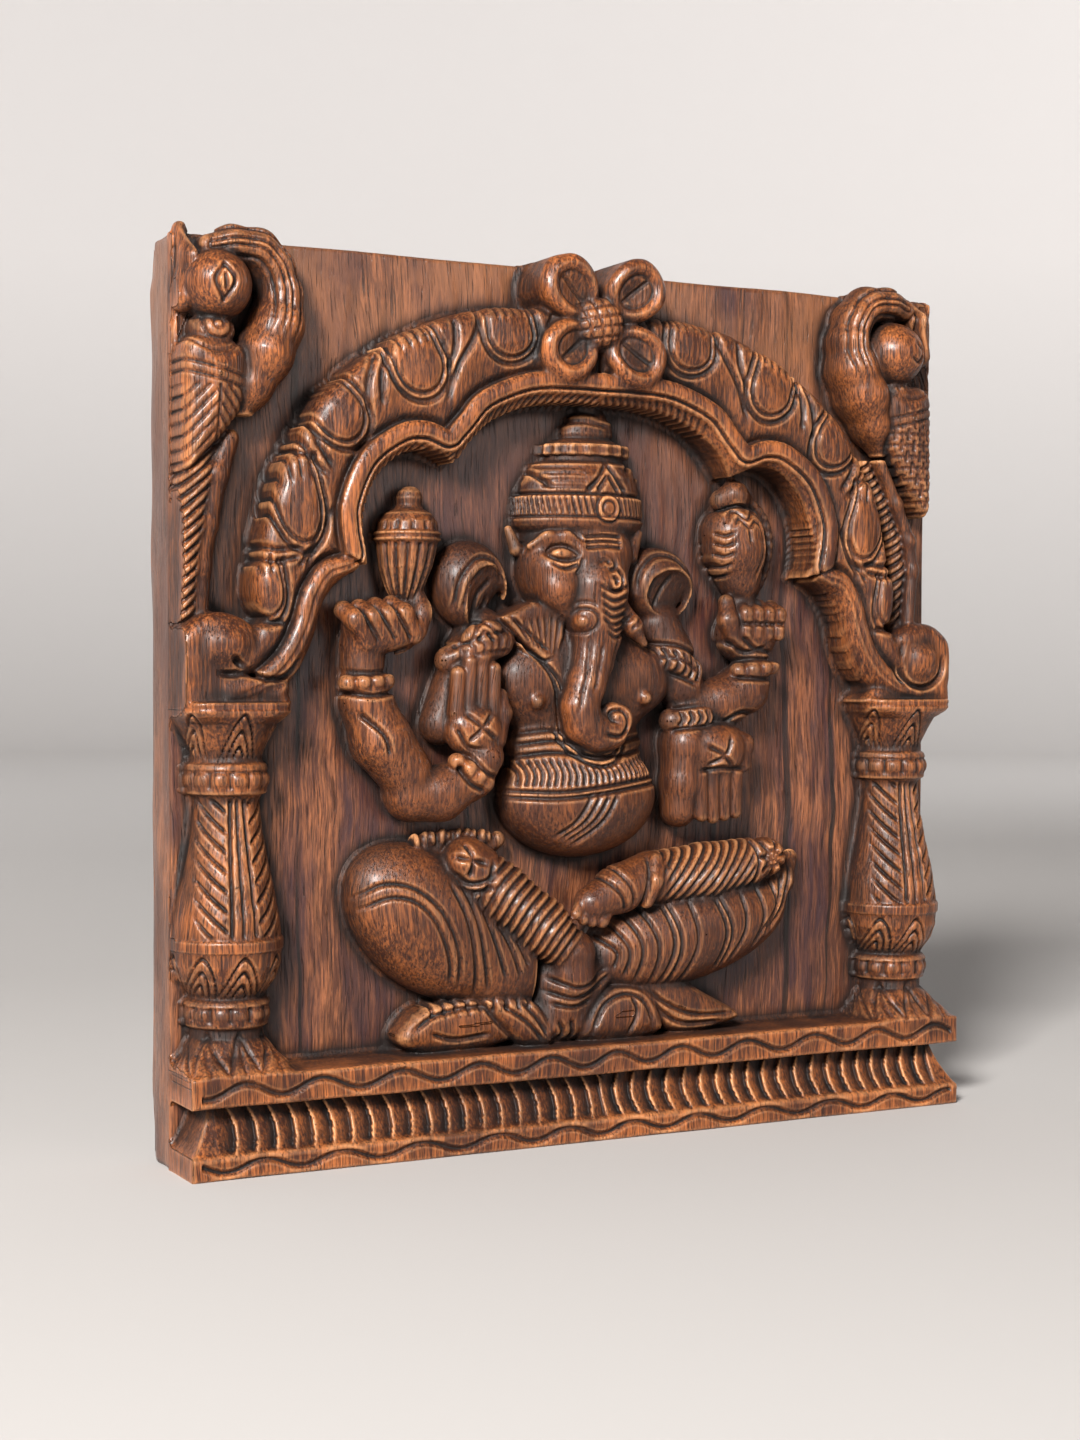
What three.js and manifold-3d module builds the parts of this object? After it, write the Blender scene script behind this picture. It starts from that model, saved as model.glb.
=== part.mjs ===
// A square wooden wall panel carved in deep relief: an elephant-headed figure seated on a lotus under a
// cusped arch, between two turned pillars on a moulded plinth, with a bird in each top corner and a rosette
// at the crown of the arch.
// Millimetres. +X is to the viewer's right, +Y runs into the wall and +Z is up.
// The origin is on the surface that the panel stands on, at the middle of its width and of its thickness.
// Each carved feature is a solid of its own. "left" and "right" are the viewer's.
import * as THREE from "three";
import { mergeVertices } from "three/addons/utils/BufferGeometryUtils.js";
import Module from "manifold-3d";

const wasm = await Module();
wasm.setup();

// ---- driving dimensions ----
const WIDTH = 305;
const HEIGHT = 311; // to the tips of the corner leaves
const BOARD_HEIGHT = 307;
const THICKNESS = 45;
const BOARD_THICKNESS = 22;
const PLINTH_HEIGHT = 33.5;
const GAP = 0.3; // between two pieces that touch

const FRONT = -THICKNESS / 2;
const BACK = THICKNESS / 2;
const GROUND = BACK - BOARD_THICKNESS; // the board's front face
const EDGE = WIDTH / 2;
const STAND = PLINTH_HEIGHT + GAP; // what stands on the plinth starts here

const BALL_AROUND = 16;
const BALL_DOWN = 8;
const LIMB_AROUND = 10;
const TURNED_AROUND = 16;

// ---- materials ----
const wood = () => new THREE.MeshStandardMaterial({ color: 0x6b3d20, roughness: 0.45, metalness: 0 });
const steel = () => new THREE.MeshStandardMaterial({ color: 0x9a9a98, roughness: 0.35, metalness: 0.9 });

// ---- between three.js geometry and solids ----
function solidOf(geometry) {
  const bare = geometry.clone();
  bare.deleteAttribute("normal");
  bare.deleteAttribute("uv");
  const merged = mergeVertices(bare, 1e-4);
  const mesh = new wasm.Mesh({
    numProp: 3,
    vertProperties: new Float32Array(merged.attributes.position.array),
    triVerts: new Uint32Array(merged.index.array),
  });
  return new wasm.Manifold(mesh);
}

function geometryOf(solid) {
  const mesh = solid.getMesh();
  const geometry = new THREE.BufferGeometry();
  geometry.setAttribute("position", new THREE.BufferAttribute(mesh.vertProperties, 3));
  geometry.setIndex(new THREE.BufferAttribute(mesh.triVerts, 1));
  geometry.computeVertexNormals();
  return geometry;
}

const joined = (solids) => solids.reduce((a, b) => a.add(b));

// A cut can leave crumbs beside the piece itself.
function largest(solid) {
  return solid.decompose().sort((a, b) => b.volume() - a.volume())[0];
}

// ---- shapes; each takes grow, which makes it that much bigger all round ----
function box(low, high, grow = 0) {
  const size = high.map((h, i) => h - low[i] + 2 * grow);
  const centre = high.map((h, i) => (h + low[i]) / 2);
  return solidOf(new THREE.BoxGeometry(...size).translate(...centre));
}

// An ellipsoid. tilt turns it in the plane of the panel, in degrees, clockwise as the viewer sees it.
function ball(centre, radii, grow = 0, tilt = 0) {
  const geometry = new THREE.SphereGeometry(1, BALL_AROUND, BALL_DOWN)
    .rotateX(Math.PI / 2)
    .scale(...radii.map((r) => r + grow))
    .rotateY(THREE.MathUtils.degToRad(tilt))
    .translate(...centre);
  return solidOf(geometry);
}

// A tapered rod with round ends, from point a with radius ra to point b with radius rb.
function rod(a, b, ra, rb, grow = 0) {
  const from = new THREE.Vector3(...a);
  const along = new THREE.Vector3(...b).sub(from);
  const length = along.length();
  const r0 = ra + grow;
  const r1 = rb + grow;
  const end = (r, at, low, high) =>
    [0, 0.5, 1].map((part) => {
      const angle = THREE.MathUtils.lerp(low, high, part);
      return new THREE.Vector2(Math.max(0, r * Math.cos(angle)), at + r * Math.sin(angle));
    });
  const profile = [...end(r0, 0, -Math.PI / 2, 0), ...end(r1, length, 0, Math.PI / 2)];
  profile[0].x = 0;
  profile[profile.length - 1].x = 0;
  const turn = new THREE.Quaternion().setFromUnitVectors(
    new THREE.Vector3(0, 1, 0),
    along.clone().normalize(),
  );
  const geometry = new THREE.LatheGeometry(profile, LIMB_AROUND).applyQuaternion(turn).translate(...a);
  return solidOf(geometry);
}

// Rods end to end through stations of [x, y, z, radius].
function limb(stations, grow = 0) {
  const rods = stations
    .slice(1)
    .map((to, i) => rod(stations[i].slice(0, 3), to.slice(0, 3), stations[i][3], to[3], grow));
  return joined(rods);
}

// A round body about a vertical axis at (x, y), through [radius, height] points, squeezed in depth.
function turned(profile, x, y, squeeze, grow = 0) {
  const last = profile.length - 1;
  const points = profile.map(([r, z], i) => {
    const lift = i === 0 ? -grow : i === last ? grow : 0;
    return new THREE.Vector2(r + grow, z + lift);
  });
  points.unshift(new THREE.Vector2(0, points[0].y));
  points.push(new THREE.Vector2(0, points[points.length - 1].y));
  const geometry = new THREE.LatheGeometry(points, TURNED_AROUND)
    .rotateX(Math.PI / 2)
    .scale(1, squeeze, 1)
    .translate(x, y, 0);
  return solidOf(geometry);
}

// A flat shape in the plane of the panel, through outline points of [x, z], from depth near to depth far.
function plate(outline, near, far, grow = 0) {
  const shape = new THREE.Shape(outline.map(([x, z]) => new THREE.Vector2(x, z)));
  const geometry = new THREE.ExtrudeGeometry(shape, {
    depth: far - near,
    steps: 1,
    bevelEnabled: grow > 0,
    bevelSegments: 1,
    bevelSize: grow,
    bevelThickness: grow,
  });
  return solidOf(geometry.rotateX(Math.PI / 2).translate(0, far, 0));
}

// Points of a smooth curve through stations, mirrored to the other side where side is -1.
function curve(stations, steps, side = 1) {
  const points = stations.map(([x, z]) => new THREE.Vector2(x * side, z));
  return new THREE.SplineCurve(points).getPoints(steps).map((p) => [p.x, p.y]);
}

// ---- the board and the hanger let into its back ----
const HANGER = { width: 16, length: 44, thickness: 1.6, z: 262 };
const HANGER_SCREW_AT = 17; // above and below the plate's middle
const SCREW_HEAD_R = 3.2;
const SCREW_R = 1.6;
const SCREW_LENGTH = 13;
const POCKET = { width: 11, length: 25, depth: 8 };
const KEYHOLE_HEAD_R = 4.6; // lets a wall screw's head through
const KEYHOLE_SLOT_R = 2.6; // holds the screw's shank
const KEYHOLE_DROP = 6; // from the plate's middle down to the round part
const KEYHOLE_RISE = 7; // and up to the slot's end
const PLATE_FACE = BACK - 0.2; // the plate lies just under the board's back face

function lying(radius, length, x, z, from) {
  const geometry = new THREE.CylinderGeometry(radius, radius, length, TURNED_AROUND);
  return solidOf(geometry.translate(x, from + length / 2, z));
}

const screwHeights = [-HANGER_SCREW_AT, HANGER_SCREW_AT].map((dz) => HANGER.z + dz);

function hangerPlate(grow = 0) {
  const low = [-HANGER.width / 2, PLATE_FACE - HANGER.thickness, HANGER.z - HANGER.length / 2];
  const high = [HANGER.width / 2, PLATE_FACE, HANGER.z + HANGER.length / 2];
  return box(low, high, grow);
}

function keyhole() {
  const from = PLATE_FACE - HANGER.thickness - 1;
  const through = HANGER.thickness + 2;
  const top = HANGER.z + KEYHOLE_RISE;
  const slot = box(
    [-KEYHOLE_SLOT_R, from, HANGER.z - KEYHOLE_DROP],
    [KEYHOLE_SLOT_R, from + through, top],
  );
  return joined([
    lying(KEYHOLE_HEAD_R, through, 0, HANGER.z - KEYHOLE_DROP, from),
    lying(KEYHOLE_SLOT_R, through, 0, top, from),
    slot,
  ]);
}

function hangerScrew(z, grow = 0) {
  const headDepth = 1.8;
  const tip = PLATE_FACE - SCREW_LENGTH;
  const profile = [
    [0, tip - grow],
    [SCREW_R * 0.4 + grow, tip - grow],
    [SCREW_R + grow, tip + 3],
    [SCREW_R + grow, PLATE_FACE - headDepth],
    [SCREW_HEAD_R + grow, PLATE_FACE - 0.2],
    [SCREW_HEAD_R + grow, PLATE_FACE + grow],
    [0, PLATE_FACE + grow],
  ];
  const points = profile.map(([r, y]) => new THREE.Vector2(r, y));
  return solidOf(new THREE.LatheGeometry(points, LIMB_AROUND).translate(0, 0, z));
}

function backBoard() {
  const board = box([-EDGE, GROUND, 0], [EDGE, BACK, BOARD_HEIGHT]);
  const recess = hangerPlate(GAP).add(hangerPlate(GAP).translate([0, 1, 0]));
  const pocketFar = PLATE_FACE - HANGER.thickness - POCKET.depth;
  const pocket = box(
    [-POCKET.width / 2, pocketFar, HANGER.z - POCKET.length / 2],
    [POCKET.width / 2, BACK + 1, HANGER.z + POCKET.length / 2],
  );
  return board.subtract(recess).subtract(pocket);
}

// ---- the plinth: two flat mouldings with a flared frieze between them ----
const LOWER_MOULDING_TOP = 7.4;
const UPPER_MOULDING_FOOT = 23.4;
const FRIEZE_RECESS = 8;
const PLINTH_BACK = GROUND - GAP;

function plinthBar(bottom, top, bottomRecess, topRecess) {
  const layer = (z, recess) => {
    const x = EDGE - recess;
    return [-x, FRONT + recess, z, x, FRONT + recess, z, x, PLINTH_BACK, z, -x, PLINTH_BACK, z];
  };
  const geometry = new THREE.BufferGeometry();
  const corners = new Float32Array([...layer(bottom, bottomRecess), ...layer(top, topRecess)]);
  geometry.setAttribute("position", new THREE.BufferAttribute(corners, 3));
  const sides = [0, 1, 2, 3].flatMap((i) => {
    const j = (i + 1) % 4;
    return [i, j, j + 4, i, j + 4, i + 4];
  });
  geometry.setIndex([0, 2, 1, 0, 3, 2, 4, 5, 6, 4, 6, 7, ...sides]);
  return solidOf(geometry);
}

// ---- the pillars ----
const PILLAR_X = 134;
const PILLAR_Y = -2.5;
const PILLAR_SQUEEZE = 1.05;
const FOOT_TOP = 48;
const SHAFT_TOP = 123.5;
const COLLAR_TOP = 134.5;
const CAPITAL_TOP = 156;

const pillarShapes = {
  foot: [[20, STAND], [17, 36], [12, 42], [11.5, FOOT_TOP]],
  shaft: [
    [13, FOOT_TOP + GAP], [15, 50], [15, 54], [12.5, 57], [15.5, 62], [18, 69],
    [18.3, 75], [17.2, 84], [14, 100], [11.5, 112], [10.8, SHAFT_TOP],
  ],
  collar: [[12, SHAFT_TOP + GAP], [14.5, 126], [15, 129], [14.5, 132], [12, COLLAR_TOP]],
  capital: [[11, COLLAR_TOP + GAP], [12.5, 139], [16, 146], [18.3, 151], [18.3, CAPITAL_TOP]],
};

const pillarPart = (part, side) => (grow) =>
  turned(pillarShapes[part], side * PILLAR_X, PILLAR_Y, PILLAR_SQUEEZE, grow);

// ---- the arch ----
const ARCH_FACE = -17.5;
const RIM_WIDTH = 6;
const RIM_FACE = -19;

const archOutside = [
  [1.5, 291], [30, 290], [57, 284], [84, 273], [108, 255], [124, 234], [131, 210], [131, 186],
];
const archInside = [
  [1.5, 268], [28, 267], [47, 260], [60, 246], [76, 247],
  [91, 237], [99, 220], [98, 205], [108, 199], [114, 186],
];
const rimInside = archInside.map(([x, z]) => {
  const inwards = new THREE.Vector2(-x, 150 - z).setLength(RIM_WIDTH);
  return [Math.max(1.5, x + inwards.x), z + inwards.y];
});

// A flat ring between an outer and an inner curve, on one side of the middle.
function ring(outer, inner, side, near, grow) {
  const outline = [...curve(outer, 14, side), ...curve(inner, 18, side).reverse()];
  return plate(side > 0 ? outline.reverse() : outline, near, GROUND - GAP, grow);
}

const archBand = (side) => (grow) => {
  const spread = side < 0 ? 1 : 0.96; // the right half is a little narrower
  const outer = archOutside.map(([x, z]) => [x * spread, z]);
  return ring(outer, archInside, side, ARCH_FACE, grow);
};

const archRim = (side) => (grow) => ring(archInside, rimInside, side, RIM_FACE, grow);

// The foot of the arch curls outwards and up into a round boss over the capital.
const archScroll = (side) => (grow) => {
  const y = -7;
  const curl = [
    [112 * side, y, 184, 6],
    [115 * side, y, 172, 6],
    [122 * side, y, 164, 7],
    [134 * side, y, 163, 6.5],
  ];
  return limb(curl, grow).add(ball([141 * side, -6, 171.5], [12, 15, 12], grow));
};

// ---- the rosette at the crown of the arch ----
const ROSETTE = { x: -2, z: 286 };
const rosetteCentre = (grow) => ball([ROSETTE.x, -14, ROSETTE.z], [9, 8, 9], grow);
const rosettePetal = ({ degrees, reach }) => (grow) => {
  const angle = THREE.MathUtils.degToRad(degrees);
  const x = ROSETTE.x + reach * Math.cos(angle);
  const z = ROSETTE.z + reach * Math.sin(angle);
  return ball([x, -11, z], [13.5, 9, 10], grow, -degrees);
};
const petals = {
  top_left: { degrees: 138, reach: 15 },
  top_right: { degrees: 40, reach: 18 },
  bottom_right: { degrees: -36, reach: 18 },
  bottom_left: { degrees: -142, reach: 14 },
};

// ---- a bird in each top corner: it looks outwards, with its neck curled over towards the arch ----
const birds = {
  left: { side: -1, head: [140, 290], r: 10, leaf: [148.5, 308], wing: [141, 12], tail: 144 },
  right: { side: 1, head: [132, 288], r: 11.5, leaf: [149, 305.5], wing: [134, 10], tail: 136 },
};

// The head and neck, and the corner leaf behind the head.
const birdHead = (bird) => (grow) => {
  const [x, z] = bird.head;
  const s = bird.side;
  const neck = [
    [(x - 6) * s, -9, z + 9, 6],
    [(x - 19) * s, -9, z + 4, 6.5],
    [(x - 25) * s, -9, z - 12, 7],
    [(x - 21) * s, -9, z - 27, 8],
  ];
  const leaf = [[bird.leaf[0] * s, -3, bird.leaf[1], 3], [(x + 5) * s, -5, z, 6]];
  const head = ball([x * s, -8, z], [bird.r, 13, bird.r], grow);
  return joined([limb(neck, grow), limb(leaf, grow), head]);
};

const birdWing = (bird) => (grow) => {
  const [x, r] = bird.wing;
  return ball([x * bird.side, -5, 252], [r, 14, 24], grow, -8 * bird.side);
};

const birdTail = (bird) => (grow) => {
  const x = bird.tail * bird.side;
  const sweep = 5 * bird.side;
  return limb([[x - sweep, -4, 231, 6], [x, -4, 208, 7], [x, -4, 190, 6]], grow);
};

// ---- the seated figure ----
const FIGURE_X = -4;
const crownProfile = [
  [26, 216.5], [26.5, 227], [23, 229], [22, 236.5], [16, 238.5], [17.5, 244.5],
  [10, 247], [9, 252.5], [3, 258],
];

const figure = {
  trunk: (g) =>
    limb(
      [
        [-3, -13, 197, 9], [0, -14.5, 180, 6.5], [-5, -14, 162, 6.3], [-7.5, -14, 151, 6.5],
        [-4, -14, 142.5, 6.3], [4, -14, 139.5, 5.6], [9, -14, 146, 4.6],
      ],
      g,
    ),
  tusk: (g) => limb([[8, -12, 184, 3.4], [16.5, -13, 173.5, 1.6]], g),
  crown: (g) => turned(crownProfile, FIGURE_X, -2.5, 0.6, g),
  head: (g) => ball([-7, -4.5, 201], [22, 14.5, 18.5], g),
  ear_left: (g) => ball([-46, -2, 194], [14, 9, 16], g, -12),
  ear_right: (g) => ball([29, -2, 195], [15, 9, 14], g, 12),
  belly: (g) => ball([FIGURE_X, -4, 121], [31, 17, 22], g),
  torso: (g) => ball([FIGURE_X, -2, 160], [31, 14, 25], g),
  open_hand_left: (g) => ball([-48, -13.5, 151.5], [10.5, 6, 17], g, 4),
  front_arm_left: (g) => limb([[-68, -8, 122, 9.5], [-46, -10, 127, 8]], g),
  rear_hand_left: (g) => ball([-84, -8, 178], [13, 10, 9.5], g, 12),
  lotus_bud: (g) =>
    limb([[-74, -8, 190, 5], [-72.5, -9, 204, 9.5], [-72, -8, 213, 8.5], [-70, -7, 225, 3]], g),
  rear_arm_left: (g) => limb([[-89, -6, 163, 8], [-83, -7, 147, 11], [-71, -7, 131, 10]], g),
  upper_arm_left: (g) => limb([[-44, -4, 173, 10], [-62, -4, 143, 8.5]], g),
  open_hand_right: (g) => ball([56, -10, 126], [13, 8, 19], g, 8),
  front_arm_right: (g) => limb([[42, -6, 143, 9], [39, -5, 114, 8]], g),
  rear_hand_right: (g) => ball([66, -8, 182], [13.5, 10, 12], g),
  serpent_noose: (g) => ball([62, -4, 213], [15, 11, 20], g, -6),
  rear_arm_right: (g) => limb([[71, -7, 164, 9], [62, -6, 152, 9.5], [46, -5, 152, 8.5]], g),
  upper_arm_right: (g) => limb([[32, -4, 178, 9.5], [36, -4, 160, 8.5]], g),
  shin_left: (g) => limb([[-51, -11, 97, 10.5], [-31, -12, 81, 10.5], [-11, -11, 66, 8.5]], g),
  foot_left: (g) => limb([[-3, -9, 57, 8], [-17, -9, 42, 7]], g),
  foot_right: (g) => limb([[12, -12, 89, 8.5], [-8, -14, 81, 5.5]], g),
  shin_right: (g) => limb([[72, -8, 96, 8], [50, -11, 92, 10], [27, -12, 91, 9.5]], g),
  thigh_left: (g) => ball([-62, -4, 77], [35, 16.5, 23], g, 34),
  thigh_right: (g) => ball([40, -5, 71], [45, 15.5, 18.5], g, -14),
  seat_left: (g) => ball([-45, -3, 43], [29, 13, 10.5], g),
  seat_right: (g) => ball([20, -3, 42.5], [34, 13, 10], g),
};

// ---- every carved feature, the foremost first: a later one is cut back from those before it ----
const carved = new Map();
for (const [name, side] of [["left", -1], ["right", 1]]) {
  for (const part of Object.keys(pillarShapes)) {
    carved.set(`pillar_${part}_${name}`, pillarPart(part, side));
  }
}
carved.set("rosette_centre", rosetteCentre);
for (const [name, petal] of Object.entries(petals)) {
  carved.set(`rosette_petal_${name}`, rosettePetal(petal));
}
for (const name of Object.keys(figure)) carved.set(name, figure[name]);
for (const [name, side] of [["left", -1], ["right", 1]]) {
  carved.set(`arch_scroll_${name}`, archScroll(side));
  carved.set(`arch_rim_${name}`, archRim(side));
  carved.set(`arch_band_${name}`, archBand(side));
}
for (const [name, bird] of Object.entries(birds)) {
  carved.set(`bird_head_${name}`, birdHead(bird));
  carved.set(`bird_wing_${name}`, birdWing(bird));
  carved.set(`bird_tail_${name}`, birdTail(bird));
}

// ---- the model ----
const panel = new THREE.Group();

function add(name, solid, material = wood()) {
  const mesh = new THREE.Mesh(geometryOf(solid), material);
  mesh.name = name;
  panel.add(mesh);
}

const screwHoles = joined(screwHeights.map((z) => hangerScrew(z, GAP)));
add("back_board", backBoard().subtract(screwHoles));
add("keyhole_hanger", hangerPlate().subtract(keyhole()).subtract(screwHoles), steel());
add("hanger_screw_lower", hangerScrew(screwHeights[0]), steel());
add("hanger_screw_upper", hangerScrew(screwHeights[1]), steel());
add("plinth_lower_moulding", plinthBar(0, LOWER_MOULDING_TOP, 0, 0));
add("plinth_frieze", plinthBar(LOWER_MOULDING_TOP + GAP, UPPER_MOULDING_FOOT - GAP, 1, FRIEZE_RECESS));
add("plinth_upper_moulding", plinthBar(UPPER_MOULDING_FOOT, PLINTH_HEIGHT, 0, 0));

// What the block leaves in front of the board and above the plinth.
const relief = box([-EDGE, FRONT, STAND], [EDGE, GROUND - GAP, HEIGHT]);
const meet = (a, b) =>
  a.min.every((low, i) => low <= b.max[i]) && b.min.every((low, i) => low <= a.max[i]);
const placed = [];
for (const [name, shape] of carved) {
  let piece = shape(0).intersect(relief);
  const bounds = piece.boundingBox();
  for (const other of placed) {
    if (meet(bounds, other.bounds)) piece = piece.subtract(other.grown);
  }
  const grown = shape(GAP);
  placed.push({ grown, bounds: grown.boundingBox() });
  add(name, largest(piece));
}

export default panel;
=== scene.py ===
"""A square wooden wall panel carved in deep relief, seen a little from its left.

The carving is sculpted here as a signed distance field on one grid of small cubes, in millimetres, in the
CAD model's frame: +X to the viewer's right, +Y into the wall, +Z up. Each CAD feature has a function that
returns its own field. The fields are melted into one surface, which is then parted again into one closed
mesh for each CAD node, so that neighbours meet in a carved valley with no seam.
"""
import functools
import math

import bmesh
import bpy
import numpy as np
from mathutils import Matrix, Vector


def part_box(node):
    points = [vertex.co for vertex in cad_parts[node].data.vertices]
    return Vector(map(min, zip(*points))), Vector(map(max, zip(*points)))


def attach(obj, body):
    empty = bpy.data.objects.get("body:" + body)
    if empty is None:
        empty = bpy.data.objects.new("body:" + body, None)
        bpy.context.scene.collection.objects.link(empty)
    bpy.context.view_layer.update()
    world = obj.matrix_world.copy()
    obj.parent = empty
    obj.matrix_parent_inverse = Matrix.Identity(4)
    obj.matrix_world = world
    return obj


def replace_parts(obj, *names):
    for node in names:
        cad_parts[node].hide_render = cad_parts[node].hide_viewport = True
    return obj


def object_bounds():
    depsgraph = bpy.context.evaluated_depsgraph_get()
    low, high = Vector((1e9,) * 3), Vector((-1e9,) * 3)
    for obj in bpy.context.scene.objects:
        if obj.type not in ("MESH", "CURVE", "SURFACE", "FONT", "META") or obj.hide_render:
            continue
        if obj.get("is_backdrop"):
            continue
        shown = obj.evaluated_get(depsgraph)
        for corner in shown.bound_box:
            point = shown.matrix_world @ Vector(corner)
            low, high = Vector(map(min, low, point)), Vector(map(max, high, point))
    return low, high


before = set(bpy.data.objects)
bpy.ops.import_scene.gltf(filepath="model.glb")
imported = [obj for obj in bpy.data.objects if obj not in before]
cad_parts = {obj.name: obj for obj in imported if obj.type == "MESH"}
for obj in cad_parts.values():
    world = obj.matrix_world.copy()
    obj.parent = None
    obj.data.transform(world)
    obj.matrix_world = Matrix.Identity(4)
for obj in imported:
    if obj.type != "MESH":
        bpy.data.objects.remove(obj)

cad_low, cad_high = [tuple(v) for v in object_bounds()]

# ---- the grid and the panel's main sizes, in millimetres ----
MM = 0.001
VOXEL = 0.5
EDGE = cad_high[0] / MM              # half the width
FRONT = cad_low[1] / MM
BACK = cad_high[1] / MM
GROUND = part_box("back_board")[0][1] / MM   # the board's front face
BOARD_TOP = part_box("back_board")[1][2] / MM
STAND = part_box("plinth_upper_moulding")[1][2] / MM
FILLET = 1.6                         # how softly one feature runs into the next
GROUND_FILLET = 2.2
OVERLAP = 1.5                        # how far a piece runs on under its neighbour
SINK = 0.06                          # and how fast it dips there, in mm per mm
EMBED = 2.0                          # how far the carving reaches into the board
CUT_DEPTH, CUT_WIDTH = 1.6, 1.25     # how hard all the gouge cuts are made

GRID_LOW = (-EDGE - 2, FRONT - 2, -2)
GRID_HIGH = (EDGE + 2, GROUND + EMBED + 2, cad_high[2] / MM + 3)


def wander(x, z, size, seed):
    """A smooth uneven surface from a few crossed waves, about -1 to 1."""
    rng = np.random.default_rng(seed)
    total = 0
    for turn in rng.uniform(0, math.pi, 5):
        pace = rng.uniform(0.6, 1.5) * 2 * math.pi / size
        total = total + np.sin((x * math.cos(turn) + z * math.sin(turn)) * pace + rng.uniform(0, 6.28))
    return total / 3


def melt(a, b, k):
    """The smaller of two fields, with a fillet of about k where they cross."""
    h = unit(0.5 + 0.5 * (b - a) / k)
    return b + (a - b) * h - k * h * (1 - h)


def melt_all(fields, k):
    return functools.reduce(lambda a, b: melt(a, b, k), fields)


def unit(value):
    return np.clip(value, 0, 1)


def within(value, low, high, soft):
    """1 between low and high, fading to 0 over the distance soft inside each end."""
    return unit((value - low) / soft) * unit((high - value) / soft)


def hump(value, width):
    """1 where value is 0, falling evenly to 0 at width on both sides."""
    return unit(1 - np.abs(value) / width)


def stripes(phase, pitch, width):
    """Evenly spaced humps, one in every whole turn of phase, which takes pitch millimetres."""
    return hump(np.abs(phase % 1 - 0.5) * pitch, width)


def smooth_path(points, steps=6):
    """Points of a smooth curve through the given ones."""
    p = np.array(points, float)
    if len(p) < 3:
        return p
    closed = np.allclose(p[0], p[-1])
    before = p[-2] if closed else 2 * p[0] - p[1]
    after = p[1] if closed else 2 * p[-1] - p[-2]
    p = np.vstack([before, p, after])
    out = []
    for a, b, c, d in zip(p, p[1:], p[2:], p[3:]):
        for t in np.arange(steps) / steps:
            out.append(0.5 * (2 * b + (c - a) * t + (2 * a - 5 * b + 4 * c - d) * t * t
                              + (3 * b - a - 3 * c + d) * t ** 3))
    out.append(p[-2])
    return np.array(out)


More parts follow.
